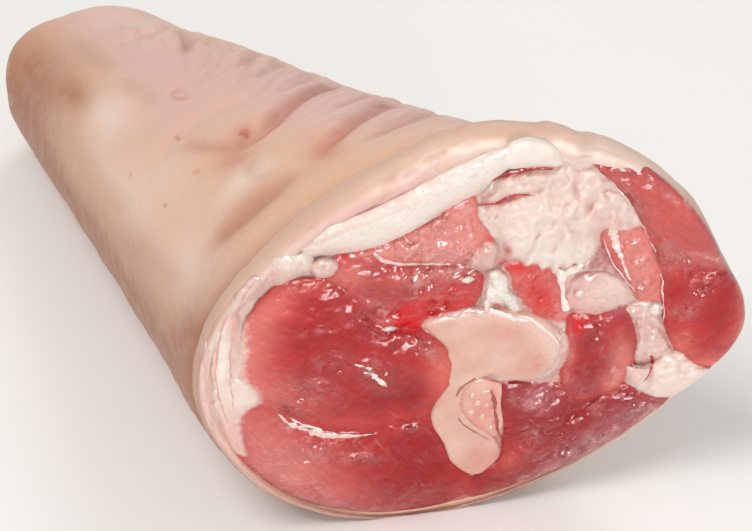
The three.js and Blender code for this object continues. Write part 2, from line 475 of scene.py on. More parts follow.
def hand_over(piece: Piece, finish: Material, node: str | None = None) -> Piece:
    """Dresses a finished piece and joins it to the frame.

    Args:
        piece: The finished mesh.
        finish: Its material.
        node: The CAD node that it stands for.

    Returns:
        The same piece.
    """
    piece.data.materials.clear()
    piece.data.materials.append(finish)
    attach(piece, BODY)
    if node:
        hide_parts(node)
    log.info("%s: %d faces, %s", piece.name, len(piece.data.polygons), finish.name)
    return piece


# ---- Finishes ----


def tone(colour: Tone) -> tuple[float, float, float, float]:
    """Turns a colour of 0 to 255 as seen on a screen into Blender's linear values."""
    shares = [v / 255 for v in colour]
    linear = [c / 12.92 if c <= 0.04045 else ((c + 0.055) / 1.055) ** 2.4 for c in shares]
    return (*linear, 1.0)


class Shade:
    """A value from a material's nodes, with arithmetic that adds Math nodes."""

    def __init__(self, bench: "Bench", socket: bpy.types.NodeSocket) -> None:
        """Wraps a socket of a material that is on the bench."""
        self.bench = bench
        self.socket = socket

    def _math(self, operation: str, first: "Shade | float", second: "Shade | float") -> "Shade":
        """Adds a Math node that works on two values."""
        return self.bench.node("ShaderNodeMath", {"operation": operation}, {0: first, 1: second})

    def __add__(self, other: "Shade | float") -> "Shade":
        """Adds a value."""
        return self._math("ADD", self, other)

    __radd__ = __add__

    def __sub__(self, other: "Shade | float") -> "Shade":
        """Takes a value away."""
        return self._math("SUBTRACT", self, other)

    def __rsub__(self, other: "Shade | float") -> "Shade":
        """Is taken away from a value."""
        return self._math("SUBTRACT", other, self)

    def __mul__(self, other: "Shade | float") -> "Shade":
        """Multiplies by a value."""
        return self._math("MULTIPLY", self, other)

    __rmul__ = __mul__

    def kept(self) -> "Shade":
        """Keeps the value between 0 and 1."""
        return self.bench.node("ShaderNodeClamp", {}, {0: self, 1: 0.0, 2: 1.0})

    def between(self, low: float, high: float) -> "Shade":
        """Rises smoothly from 0 at the low value to 1 at the high one."""
        settings = {"interpolation_type": "SMOOTHSTEP"}
        return self.bench.node("ShaderNodeMapRange", settings, {0: self, 1: low, 2: high, 3: 0.0, 4: 1.0})


class Bench:
    """One material and its nodes."""

    def __init__(self, name: str) -> None:
        """Makes an empty material.

        Args:
            name: The material's name.
        """
        self.material = bpy.data.materials.new(name)
        self.material.use_nodes = True
        self.tree = self.material.node_tree
        self.tree.nodes.clear()

    def node(
        self, kind: str, settings: dict[str, object], sockets: dict[int | str, object], out: int = 0
    ) -> Shade:
        """Adds any node.

        Args:
            kind: The node's type.
            settings: Its properties, which are set first.
            sockets: Values or links for its inputs, by number or name.
            out: Which output is wanted.

        Returns:
            The wanted output.
        """
        node = self.tree.nodes.new(kind)
        for key, value in settings.items():
            setattr(node, key, value)
        for key, value in sockets.items():
            if isinstance(value, Shade):
                self.tree.links.new(value.socket, node.inputs[key])
            else:
                node.inputs[key].default_value = value
        return Shade(self, node.outputs[out])

    def attribute(self, name: Mark, out: int) -> Shade:
        """Reads what the piece's vertices carry: places from output 1 or a value from output 2."""
        settings = {"attribute_type": "GEOMETRY", "attribute_name": name.value}
        return self.node("ShaderNodeAttribute", settings, {}, out)

    def mark(self, name: Mark) -> Shade:
        """Reads a value that the piece's vertices carry."""
        return self.attribute(name, 2)

    def places(self, size: Sequence[float], turn: Sequence[float] = (0, 0, 0)) -> Shade:
        """Gives the object's places measured in steps of a size.

        Args:
            size: Millimetres of one step along each turned axis.
            turn: Degrees that the axes are turned.

        Returns:
            The places as a vector.
        """
        where = self.node("ShaderNodeTexCoord", {}, {}, 3)
        sockets = {0: where, 2: [math.radians(a) for a in turn], 3: [s * MM for s in size]}
        return self.node("ShaderNodeMapping", {"vector_type": "TEXTURE"}, sockets)

    def noise(
        self,
        size: float | Sequence[float],
        detail: float = 3.0,
        turn: Sequence[float] = (0, 0, 0),
        warp: float = 0.0,
        where: Mark | None = None,
    ) -> Shade:
        """Adds soft noise from 0 to 1.

        Args:
            size: Millimetres from one feature to the next, or three of them for drawn-out noise.
            detail: How many finer layers it has.
            turn: Degrees that a drawn-out noise is turned.
            warp: How much the noise is pulled about.
            where: The mark that holds the places, in millimetres, instead of the object's own.

        Returns:
            The noise.
        """
        sizes = size if isinstance(size, (tuple, list)) else (size, size, size)
        if where:
            place, scale = self.attribute(where, 1), 1.0 / sizes[0]
        else:
            place, scale = self.places(sizes, turn), 1.0
        sockets = {"Vector": place, "Scale": scale, "Detail": detail, "Distortion": warp}
        return self.node("ShaderNodeTexNoise", {}, sockets)

    def cells(
        self, size: float | Sequence[float], feature: str = "F1", turn: Sequence[float] = (0, 0, 0)
    ) -> Shade:
        """Adds a cell pattern.

        Args:
            size: Millimetres from one cell to the next, or three of them for drawn-out cells.
            feature: Whether the distance is to each cell's middle, F1, or to its edge.
            turn: Degrees that drawn-out cells are turned.

        Returns:
            The distance.
        """
        sizes = size if isinstance(size, (tuple, list)) else (size, size, size)
        sockets = {"Vector": self.places(sizes, turn), "Scale": 1.0}
        return self.node("ShaderNodeTexVoronoi", {"feature": feature}, sockets)

    def mix(self, share: Shade | float, first: Shade | Tone, second: Shade | Tone) -> Shade:
        """Mixes two colours, with none of the second where the share is 0."""
        first, second = (c if isinstance(c, Shade) else tone(c) for c in (first, second))
        return self.node("ShaderNodeMix", {"data_type": "RGBA"}, {0: share, 6: first, 7: second}, 2)

    def stain(self, colour: Shade, name: Mark, share: Shade, second: Tone) -> Shade:
        """Mixes a tone into a colour where the piece is marked for it."""
        return self.mix((self.mark(name) * share).kept(), colour, second)

    def bump(self, height: Shade, depth: float) -> Shade:
        """Turns a height from 0 to 1 into a bumped surface.

        Args:
            height: The relief.
            depth: Millimetres from its lowest to its highest.

        Returns:
            The bumped normal.
        """
        return self.node("ShaderNodeBump", {}, {"Strength": 1.0, "Distance": depth * MM, "Height": height})

    def surface(self, sockets: dict[str, object]) -> Material:
        """Finishes the material with a Principled surface.

        Args:
            sockets: Values or links for its inputs.

        Returns:
            The material.
        """
        shader = self.node("ShaderNodeBsdfPrincipled", {"subsurface_method": "RANDOM_WALK"}, sockets)
        output = self.tree.nodes.new("ShaderNodeOutputMaterial")
        self.tree.links.new(shader.socket, output.inputs["Surface"])
        return self.material


@dataclass(frozen=True)
class Depth:
    """How far light goes into a surface before it comes back out."""

    share: float
    reach: float
    colours: tuple[float, float, float]

    def sockets(self) -> dict[str, object]:
        """Gives the values for a Principled surface.

        Returns:
            The values by socket.
        """
        return {
            "Subsurface Weight": self.share,
            "Subsurface Scale": self.reach * MM,
            "Subsurface Radius": self.colours,
        }


@dataclass(frozen=True)
class RindFinish:
    """Scalded pork rind: peach and pink, tan with painted shade on the sides, and pores and fine creases
    with painted shade.
    """

    name: str = "rind"
    peach: Tone = (222, 181, 151)
    pink: Tone = (221, 180, 172)
    tan_and_shade: Tone = (166, 112, 84)
    cream: Tone = (234, 208, 192)
    red: Tone = (200, 116, 96)
    pore_and_crease_shade: Tone = (170, 118, 102)
    lined: float = 1.0
    depth: Depth = Depth(0.18, 2.5, (1.0, 0.45, 0.3))

    def material(self) -> Material:
        """Makes the rind's material.

        Returns:
            The material.
        """
        bench = Bench(self.name)
        broad = bench.noise(17, 4)
        small = bench.noise(3.6, 5)
        colour = bench.mix((broad - 0.35) * 0.8, self.peach, self.pink)
        colour = bench.stain(colour, Mark.BLUSH, 0.6 + small * 0.8, self.pink)
        # cream, with painted highlights on the knuckles and on the wet ridge
        colour = bench.stain(colour, Mark.CREAM, 0.7 + broad * 0.6, self.cream)
        # tan, which also paints the shade on the sides and in the groove
        colour = bench.stain(colour, Mark.TAN, 0.75 + small * 0.5, self.tan_and_shade)
        colour = bench.stain(colour, Mark.RED, 0.6 + small * 0.8, self.red)
        spots = 1 - bench.cells(2.3).between(0.08, 0.3)
        lines = bench.noise((9, 1.1, 1.1), 5, (0, 0, 38), 0.4)
        colour = bench.mix(spots * 0.08 * self.lined, colour, self.pore_and_crease_shade)
        colour = bench.mix(lines.between(0.42, 0.7) * 0.05 * self.lined, colour, self.cream)
        # painted shade: the creases are darkened towards the pore tone
        colour = bench.mix((bench.mark(Mark.CREASE) * 0.65).kept(), colour, self.pore_and_crease_shade)
        wet = bench.mark(Mark.WET)
        rough = (0.43 + (small - 0.5) * 0.25 - wet * 0.2).kept()
        fine = bench.noise(0.9, 3)
        height = (lines * 0.18 + fine * 0.2 - spots * 0.1) * self.lined + small * 0.3
        return bench.surface({
            "Base Color": colour,
            "Roughness": rough,
            "Normal": bench.bump(height, 0.34),
            "Specular IOR Level": 0.3,
            **self.depth.sockets(),
        })


@dataclass(frozen=True)
class MarrowFinish:
    """Raw marrow: waxy pink-cream with darker threads, moist."""

    cream: Tone = (236, 196, 178)
    white: Tone = (244, 222, 206)
    pink: Tone = (222, 140, 130)
    depth: Depth = Depth(0.3, 3.0, (1.0, 0.6, 0.45))

    def material(self) -> Material:
        """Makes the marrow's material.

        Returns:
            The material.
        """
        bench = Bench("marrow")
        broad = bench.noise(8, 4)
        small = bench.noise(2.0, 5)
        colour = bench.mix(((small - 0.5) * 0.7).kept(), self.cream, self.white)
        pink = (bench.mark(Mark.BLUSH) + (broad - 0.52) * 0.9).kept()
        colour = bench.mix(pink * 0.9, colour, self.pink)
        threads = 1 - bench.cells((5, 3, 7), "DISTANCE_TO_EDGE", (0, 0, -20)).between(0.0, 0.07)
        colour = bench.mix(threads * broad.between(0.45, 0.7) * 0.4, colour, self.pink)
        return bench.surface({
            "Base Color": colour,
            "Roughness": (0.2 + (small - 0.5) * 0.3).kept(),
            "Normal": bench.bump(small * 0.7 + bench.noise(0.7, 3) * 0.3, 0.45),
            "Coat Weight": 0.15,
            "Coat Roughness": 0.2,
            **self.depth.sockets(),
        })


@dataclass(frozen=True)
class FleshFinish:
    """Raw muscle and fat: wet lean with fibres, waxy cream fat, soft ragged borders, and painted glints,
    glow and crease shade.
    """

    deep: Tone = (150, 32, 36)
    lean: Tone = (190, 52, 52)
    glow: Tone = (226, 112, 98)
    salmon: Tone = (228, 138, 128)
    violet: Tone = (172, 108, 116)
    blood: Tone = (210, 10, 20)
    fleck_and_glint: Tone = (236, 184, 176)
    cream: Tone = (225, 204, 193)
    white: Tone = (237, 227, 218)
    pink: Tone = (220, 158, 152)
    red: Tone = (190, 56, 56)
    depth: Depth = Depth(0.3, 2.4, (1.0, 0.35, 0.25))

    def lean_colour(self, bench: Bench, fibre: Shade, small: Shade) -> Shade:
        """Mixes the colour of the lean.

        Args:
            bench: The material's bench.
            fibre: Noise along the fibres.
            small: Fine noise.

        Returns:
            The colour.
        """
        broad = bench.noise(8, 4, warp=0.4)
        flesh = (broad - 0.5) * 1.3 + (fibre - 0.5) * 0.7 + 0.66 - bench.mark(Mark.DARK) * 0.85
        colour = bench.mix(flesh.kept(), self.deep, self.lean)
        colour = bench.stain(colour, Mark.SALMON, 0.65 + fibre * 0.6, self.salmon)
        # glow tone, which also paints the glow at the muscles' edges
        colour = bench.stain(colour, Mark.GLOW, 0.7 + small * 0.5, self.glow)
        colour = bench.stain(colour, Mark.VIOLET, 0.4 + broad, self.violet)
        colour = bench.stain(colour, Mark.BLOOD, 0.75 + small * 0.5, self.blood)
        streaks = bench.noise(1.1, 5, warp=0.6, where=Mark.FIBRE).between(0.6, 0.75)
        specks = small.between(0.56, 0.7)
        marble = bench.noise(4.2, 5, warp=0.4).between(0.46, 0.66)
        # pale streaks and flecks: marbling of the lean, and painted glints where the fleck mark sits on wet
        # places
        fleck_and_glint = bench.mark(Mark.FLECK)
        pale = streaks * 0.12 + fleck_and_glint * (specks * 0.4 + streaks * 0.4 + marble * 0.4)
        return bench.mix(pale.kept(), colour, self.fleck_and_glint)

    def fat_colour(self, bench: Bench, small: Shade) -> Shade:
        """Mixes the colour of the fat.

        Args:
            bench: The material's bench.
            small: Fine noise.

        Returns:
            The colour.
        """
        broad = bench.noise(6, 4)
        white = (bench.mark(Mark.WHITE) + (small - 0.5) * 0.6).kept()
        colour = bench.mix(white, self.cream, self.white)
        # pink in the creases between lobes: partly the fat's own tint, partly painted shade
        pink = bench.mark(Mark.BLUSH) * 0.9 + bench.mark(Mark.CREASE) * 0.4 + (broad - 0.52) * 0.8
        colour = bench.mix(pink.kept() * 0.85, colour, self.pink)
        return bench.stain(colour, Mark.RED, 0.55 + small * 0.9, self.red)

    def material(self) -> Material:
        """Makes the material.

        Returns:
            The material.
        """
        bench = Bench("muscle_and_fat")
        small = bench.noise(1.6, 5)
        fibre = bench.noise(1.0, 4, warp=0.6, where=Mark.FIBRE)
        ragged = bench.mark(Mark.LEAN) + (bench.noise(1.2, 4) - 0.5) * 0.5
        lean = ragged.between(0.25, 0.75)
        colour = bench.mix(lean, self.fat_colour(bench, small), self.lean_colour(bench, fibre, small))
        wet = bench.mark(Mark.WET)
        rough = (0.42 - lean * 0.14 + (small - 0.5) * 0.26 - wet * 0.14).kept()
        ripple = bench.noise(1.7, 3, warp=0.5)
        height = fibre * lean * 0.2 + small * 0.2 + ripple * (wet * 4.8 + 0.12)
        return bench.surface({
            "Base Color": colour,
            "Roughness": rough,
            "Normal": bench.bump(height, 0.45),
            "Specular IOR Level": 0.12,
            "Coat Weight": (wet * 0.85 + 0.15).kept(),
            "Coat Roughness": 0.1,
            "Coat IOR": 1.5,
            **self.depth.sockets(),
        })


@dataclass(frozen=True)
class BoneFinish:
    """Sawn bone: beige-pink and finely porous, with a paler rim and specks of marrow."""

    name: str
    bone: Tone = (212, 165, 146)
    pale: Tone = (229, 198, 184)
    speck: Tone = (206, 120, 116)
    depth: Depth = Depth(0.2, 1.6, (1.0, 0.5, 0.35))

    def material(self) -> Material:
        """Makes the bone's material.

        Returns:
            The material.
        """
        bench = Bench(self.name)
        broad = bench.noise(7, 4)
        small = bench.noise(1.3, 5)
        pores = 1 - bench.cells(0.8).between(0.12, 0.4)
        colour = bench.mix(((broad - 0.4) * 1.6).kept(), self.bone, self.pale)
        colour = bench.mix(bench.mark(Mark.WHITE) * 0.85, colour, self.pale)
        colour = bench.mix(pores * 0.14, colour, self.speck)
        blush = bench.mark(Mark.BLUSH) * (0.3 + small * 1.0)
        red = bench.mark(Mark.RED) * small.between(0.3, 0.7)
        colour = bench.mix((blush + red).kept() * 0.85, colour, self.speck)
        rough = (0.42 + (small - 0.5) * 0.3 - bench.mark(Mark.WET) * 0.2).kept()
        height = small * 0.6 - pores * 0.2
        return bench.surface({
            "Base Color": colour,
            "Roughness": rough,
            "Normal": bench.bump(height, 0.22),
            "Coat Weight": 0.1,
            "Coat Roughness": 0.2,
            **self.depth.sockets(),
        })


@dataclass(frozen=True)
class SinewFinish:
    """Wet white sinew and membrane."""

    name: str
    white: Tone = (246, 226, 218)
    pink: Tone = (226, 140, 130)
    rough: float = 0.2
    depth: Depth = Depth(0.3, 1.6, (1.0, 0.5, 0.4))

    def material(self) -> Material:
        """Makes the sinew's material.

        Returns:
            The material.
        """
        bench = Bench(self.name)
        small = bench.noise(1.6, 4)
        pink = ((small - 0.45) * 1.6 + bench.mark(Mark.BLUSH)).kept()
        colour = bench.mix(pink * 0.8, self.white, self.pink)
        return bench.surface({
            "Base Color": colour,
            "Roughness": (self.rough + (small - 0.5) * 0.2).kept(),
            "Normal": bench.bump(small, 0.35),
            "Coat Weight": 0.25,
            "Coat Roughness": 0.1,
            **self.depth.sockets(),
        })


@dataclass(frozen=True)
class GroundFinish:
    """Plain pale paper under the hock."""

    paper: Tone = (243, 242, 240)
    shade: Tone = (239, 238, 236)

    def material(self) -> Material:
        """Makes the ground's material.

        Returns:
            The material.
        """
        bench = Bench("pale_ground")
        colour = bench.mix(bench.noise(60, 2), self.paper, self.shade)
        return bench.surface({"Base Color": colour, "Roughness": 0.9})


# ---- The barrel that everything follows ----


@dataclass(frozen=True)
class Barrel:
    """The tapered barrel of the hock, from the thin end to the big cut."""

    length: float = 188.0
    cut_yaw: float = 20.0
    cut_pitch: float = -5.5
    flat_depth: float = 1.3
    origin: tuple[float, float, float] = (105.7565, 3.287, 0.0)
    # Distance from the thin end, half width, half height, and the middle's place across and up.
    sections: tuple[tuple[float, ...], ...] = (
        (0, 21.5, 19.5, -9.3, 20.6),
        (15, 24.5, 21.6, -8.9, 22.1),
        (56, 32.3, 29.7, -6.2, 29.9),
        (103, 39.4, 38.6, -5.2, 38.8),
        (150, 48.6, 49.2, -3.8, 49.4),
        (188, 60, 60, 0, 52.8),
    )
    # Radii of the big cut's outline, one every 22.5 degrees from the far side.
    cut_radii: tuple[float, ...] = (
        66.2, 63.5, 65.6, 68.7, 69.3, 62.7, 59.0, 59.2,
        59.2, 57.7, 57.2, 55.6, 52.4, 50.2, 51.3, 56.8,
    )
    cut_radius: float = 60.0
    outline_begins: float = 140.0
    settle: float = 0.5

    def section(self, column: int, x: Array) -> Array:
        """Reads one of the sections' sizes at places along the barrel."""
        table = np.array(self.sections)
        return through(table[:, 0], table[:, column], x)

    def rim(self, degrees: Array) -> Array:
        """Gives the radius of the big cut's outline in directions in degrees.

        Args:
            degrees: Directions in degrees.

        Returns:
            The radii.
        """
        radii = np.array(self.cut_radii)
        place = np.mod(degrees / 360 * len(radii), len(radii))
        i = np.floor(place).astype(int)
        u = place - i
        a, b, c, d = (radii[(i + k) % len(radii)] for k in (-1, 0, 1, 2))
        return b + 0.5 * u * (c - a + u * (2 * a - 5 * b + 4 * c - d + u * (3 * (b - c) + d - a)))

    def radius(self, x: Array, degrees: Array) -> Array:
        """Gives the distance from a section's middle to the rind.

        Args:
            x: Distances from the thin end.
            degrees: Directions round the barrel.

        Returns:
            The distances.
        """
        angle = np.radians(degrees)
        a, b = self.section(1, x), self.section(2, x)
        oval = a * b / np.hypot(b * np.cos(angle), a * np.sin(angle))
        share = np.clip((x - self.outline_begins) / (self.length - self.outline_begins), 0, None) ** 1.5
        return oval * (1 + (self.rim(degrees) / self.cut_radius - 1) * share)

    def spot(self, x: Array, y: Array, z: Array, forward: Array | float = 0.0) -> Array:
        """Turns places in the barrel's sections into places in the frame.

        Args:
            x: Distance of the section from the thin end.
            y: Distance across from the section's middle, to the far side.
            z: Distance up from the section's middle.
            forward: Distance out of the section's plane, to the big cut's side.

        Returns:
            Points in metres.
        """
        x, y, z, forward = np.broadcast_arrays(*(np.asarray(v, float) for v in (x, y, z, forward)))
        share = np.clip(x / self.length, 0, None) ** 2
        yaw, pitch = np.radians(self.cut_yaw) * share, np.radians(self.cut_pitch) * share
        out = np.stack([np.cos(yaw) * np.cos(pitch), -np.sin(yaw) * np.cos(pitch), np.sin(pitch)], -1)
        across = np.stack([np.sin(yaw), np.cos(yaw), np.zeros_like(yaw)], -1)
        up = np.cross(out, across)
        point = np.stack([x, self.section(3, x), self.section(4, x)], -1)
        point = point + across * y[..., None] + up * z[..., None] + out * forward[..., None]
        above = point[..., 2] - self.flat_depth
        point[..., 2] = 0.5 * (above + np.sqrt(above**2 + self.settle**2))
        return (point - np.array(self.origin)) * MM


BARREL = Barrel()


@dataclass(frozen=True)
class Cut:
    """The flat of the big cut, on which the muscles, bones and fat are laid out.

    Places on it are read along a slant, as from above and in front, so a place keeps its reading
    when it is raised.
    """

    middle: Place = (0.2, 0.65)
    slant: Place = (-0.188, 1.041)

    def spot(self, y: Array, z: Array, height: Array | float) -> Array:
        """Turns places on the cut and heights over it into points in metres."""
        y, z = np.asarray(y) + self.middle[0], np.asarray(z) + self.middle[1]
        return BARREL.spot(BARREL.length, y, z, height)

    def raised(self, y: Array, z: Array, height: Array) -> tuple[Array, Array]:
        """Finds where a place lies once it is raised along the slant."""
        return y + self.slant[0] * height, z + self.slant[1] * height

    def read(self, points: Array) -> tuple[Array, Array, Array]:
        """Reads points back as places on the cut.

        Args:
            points: Points in metres.

        Returns:
            Slanted places across and up, and the heights over the cut.
        """
        corner, across, up, out = self.spot(*np.eye(4)[1:])
        off = points - corner
        y, z, height = (off @ ((axis - corner) / MM) / MM for axis in (across, up, out))
        return y - self.slant[0] * height, z - self.slant[1] * height, height


CUT = Cut()


# ---- The rind ----


@dataclass(frozen=True)
class Fold:
    """A crease in the rind with a swollen side, along a path of (distance, degrees)."""

    path: tuple[Place, ...]
    depth: float
    width: float
    swell: float = 0.6
    red: float = 0.0

    def shape(self, x: Array, degrees: Array, scale: Array) -> tuple[Array, Array]:
        """Works out the fold's relief and how strongly it shows in colour.

        Args:
            x: Distances from the thin end.
            degrees: Directions round the barrel.
            scale: Millimetres of one degree.

        Returns:
            The relief in millimetres and the colour's share.
        """
        gap, side, share = to_path(self.path, x, degrees, scale)
        ends = step(share, 0, 0.22) * (1 - step(share, 0.78, 1))
        groove = np.exp(-((gap / self.width) ** 2)) * ends
        ridge = np.exp(-(((gap - 1.9 * self.width) / (1.3 * self.width)) ** 2)) * ends
        leaning = 0.65 + 0.35 * side
        return -self.depth * groove + self.depth * self.swell * ridge * leaning, groove


@dataclass
class Rind:
    """The skin of the barrel, from the roll at the thin end to its edge at the big cut."""

    around: int = 336
    roll: float = 10.0
    cut_share: float = 0.55
    lip_share: float = 0.08
    recess: float = 3.5
    barrel_steps: int = 236
    roll_steps: int = 18
    edge: float = 186.2
    wall: float = 2.6
    back_places: tuple[float, ...] = (184.0, 178.0, 178.0, 178.0)
    back_shares: tuple[float, ...] = (1.0, 1.0, 0.6, 0.2)
    back_insets: tuple[float, ...] = (2.8, 4.0, 4.0, 4.0)
    creases: tuple[tuple[float, ...], ...] = (
        (40, 78, 60, 1.1, 5), (84, 92, 55, 1.0, 6), (108, 112, 50, 1.4, 6), (132, 118, 48, 1.6, 7),
    )
    knuckles: tuple[tuple[float, ...], ...] = ((17, 62, 40, 1.8, 15), (5, 138, 42, 3.2, 15))
    folds: tuple[Fold, ...] = (
        Fold(((37, 55), (44, 66), (53, 76), (61, 84), (68, 92)), 1.3, 1.6, 0.7),
        Fold(((30, 52), (35, 62), (40, 72), (42, 84)), 0.6, 1.6, 0.7),
        Fold(((66, 52), (74, 62), (80, 74), (83, 86)), 0.6, 1.7),
        Fold(((78, 54), (86, 66), (93, 78), (97, 88)), 0.8, 1.6),
        Fold(((92, 55), (101, 68), (109, 80), (114, 92)), 0.8, 1.8),
        Fold(((104, 58), (113, 72), (122, 88), (131, 104), (139, 117)), 1.5, 2.2, 0.8, 0.5),
        Fold(((120, 60), (127, 70), (133, 80), (137, 90)), 0.7, 1.8, 0.6, 0.2),
        Fold(((130, 62), (140, 76), (150, 90), (157, 101), (163, 109)), 1.5, 2.2, 0.8, 0.6),
        Fold(((146, 64), (155, 78), (163, 90), (170, 102)), 0.9, 2.2, 0.6, 0.2),
        Fold(((164, 114), (168, 123), (169, 134), (167, 146)), 0.9, 2.8, 0.9, 0.15),
        Fold(((83, 108), (86, 112), (90, 113), (94, 109)), 0.35, 0.8, 0.6, 0.3),
        Fold(((84, 106), (86, 109), (89, 110), (92, 107)), 0.25, 0.7),
        Fold(((60, 118), (68, 121), (78, 119), (88, 122)), 0.4, 2.6, 0.4),
        Fold(((112, 126), (122, 124), (130, 118), (136, 110)), 0.6, 2.4, 0.5, 0.2),
        Fold(((146, 118), (152, 122), (158, 123), (164, 120)), 0.5, 1.6, 0.7),
        Fold(((50, 150), (70, 156), (95, 158), (120, 155)), 0.3, 4.0, 0.4),
        Fold(((110, 168), (130, 163), (150, 160), (170, 156)), 0.4, 3.6, 0.4),
        Fold(((20, 110), (32, 116), (45, 118), (56, 114)), 0.5, 3.0, 0.5),
    )
    nicks: tuple[Fold, ...] = (
        Fold(((105.4, 125.2), (107, 125.4), (108.8, 124.8)), 0.35, 0.5, 0.5, 0.5),
        Fold(((102, 145), (103.2, 146.4), (104, 146.6)), 0.25, 0.5, 0.5, 0.4),
        Fold(((128.4, 131.6), (130, 131.2), (131.6, 131.3)), 0.3, 0.45, 0.5, 0.6),
        Fold(((129, 146), (130.4, 145.6), (132, 145.4)), 0.2, 0.45, 0.5, 0.5),
        Fold(((127.6, 113.4), (129.4, 112.2), (131.2, 112.6)), 0.7, 0.6, 0.9, 0.9),
    )
    hollows: tuple[Patch, ...] = (
        P(137, 120, 8, 8, 1.5), P(161, 107, 8, 6, 1.3, 20), P(64, 66, 9, 8, 0.8), P(98, 108, 12, 9, 0.7),
        P(30, 98, 8, 10, 0.6), P(56, 134, 6, 12, 0.5),
    )
    mounds: tuple[Patch, ...] = (
        P(34, 78, 7, 12, 0.8), P(50, 90, 7, 10, 0.6), P(152, 122, 7, 9, 0.9), P(122, 104, 7, 8, 0.7),
        P(146, 98, 7, 8, 0.8), P(74, 136, 14, 12, 0.5), P(174, 140, 8, 18, 0.5),
    )
    blush: tuple[Patch, ...] = (
        P(60, 106, 18, 14, 0.9), P(22, 88, 16, 30, 0.8), P(90, 80, 60, 28, 0.8), P(96, 118, 20, 14, 0.6),
        P(140, 80, 30, 20, 0.7), P(86, 134, 8, 6, 0.3),
    )
    # cream patches; those at (37, 80), (50, 90) and (155, 126) are painted highlights
    cream: tuple[Patch, ...] = (
        P(72, 136, 13, 11, 0.9), P(18, 80, 14, 26, 0.35), P(104, 152, 26, 9, 0.6),
        P(168, 154, 20, 12, 0.65), P(37, 80, 9, 13, 0.35), P(50, 90, 7, 9, 0.35), P(155, 126, 5, 8, 0.8),
        P(120, 138, 20, 8, 0.35),
    )
    # tan patches; the two nearest the big cut paint the shade of its groove
    tan_and_shade: tuple[Patch, ...] = (
        P(10, 152, 22, 36, 0.62), P(36, 150, 22, 24, 0.6), P(49, 139, 9, 7, 0.4), P(168, 132, 6, 13, 0.4),
        P(187, 132, 5, 34, 0.6), P(180, 168, 12, 24, 0.6),
    )
    red: tuple[Patch, ...] = (
        P(138, 121, 8, 6, 0.6), P(162, 107, 8, 4, 0.6, 20), P(129, 112, 4, 3, 0.5), P(168, 131, 4, 11, 0.2),
        P(48, 140, 8, 5, 0.25),
    )
    wet: tuple[Patch, ...] = (
        P(155, 123, 6, 6, 0.9), P(34, 64, 8, 6, 0.6), P(88, 112, 6, 3, 0.5), P(150, 118, 5, 4, 0.6),
    )

    def relief(self, x: Array, degrees: Array) -> tuple[Array, Array, Array]:
        """Works out how the rind stands off the plain barrel.

        Args:
            x: Distances from the thin end.
            degrees: Directions round the barrel.

        Returns:
            The relief in millimetres, the red of the folds, and the shade in the creases.
        """
        scale = np.radians(1) * BARREL.section(1, x)
        total = np.zeros_like(x)
        red = np.zeros_like(x)
        shade = np.zeros_like(x)
        for place, middle, reach, depth, width in self.creases:
            total -= depth * bump(x - place, width) * bump(apart(degrees, middle), reach)
        for place, middle, reach, rise, width in self.knuckles:
            total += rise * bump(x - place, width) * bump(apart(degrees, middle), reach)
        for hollow in self.hollows:
            total -= hollow.weight(x, degrees)
        for mound in self.mounds:
            total += mound.weight(x, degrees)
        for fold in (*self.folds, *self.nicks):
            ends = np.array(fold.path)
            low, high = ends.min(0) - (9, 14), ends.max(0) + (9, 14)
            reach = (x > low[0]) & (x < high[0]) & (degrees > low[1]) & (degrees < high[1])
            change, groove = fold.shape(x[reach], degrees[reach], scale[reach])
            total[reach] += change
            red[reach] += fold.red * groove
            shade[reach] += 0.5 * groove * (fold.depth / 1.5 + 0.3)
        total += self.wrinkles(x, degrees, scale, shade)
        total -= self.groove(x, degrees)
        return total, red, shade

    def wrinkles(self, x: Array, degrees: Array, scale: Array, shade: Array) -> Array:
        """Adds the fine slanting wrinkles over the top and the soft unevenness everywhere.

        Args:
            x: Distances from the thin end.
            degrees: Directions round the barrel.
            scale: Millimetres of one degree.
            shade: The creases' shade, which it adds to.

        Returns:
            The relief in millimetres.
        """
        run = degrees * scale
        pull = GRAIN.layers(flat(x, run, 3), 18, 2)
        across = (degrees - 0.5 * x - 0.005 * x**2) * 0.48 + 2.2 * pull
        lines = GRAIN.layers(flat(across, x * 0.09, 9), 5.0, 2)
        fine = np.abs(GRAIN.layers(flat(across, x * 0.14, 21), 2.4, 2))
        top = np.exp(-(((degrees - 72) / 25) ** 2)) * step(x, 14, 34) * (1 - 0.4 * step(x, 150, 184))
        top *= 0.7 + 0.6 * pull
        ridges = np.abs(lines)
        shade += top * (0.45 * (1 - step(ridges, 0.0, 0.16)) + 0.2 * (1 - step(fine, 0.0, 0.12)))
        point = flat(x, run, 40)
        uneven = 0.5 * GRAIN.layers(point, 22, 2) + 0.16 * GRAIN.layers(point, 6, 2)
        plain = 0.07 * GRAIN.layers(flat(x, run, 55), 2.2, 2)
        return top * (1.3 * (ridges - 0.3) + 0.5 * (fine - 0.2)) + uneven + plain

    def groove(self, x: Array, degrees: Array) -> Array:
        """Deepens the soft groove where the rolled edge leaves the barrel.

        Args:
            x: Distances from the thin end.
            degrees: Directions round the barrel.

        Returns:
            Its depth in millimetres.
        """
        top = bump(apart(degrees, 108), 66)
        side = bump(apart(degrees, 178), 62)
        return 2.6 * top * bump(x - 187, 9) + 1.1 * side * bump(x - 187, 6)

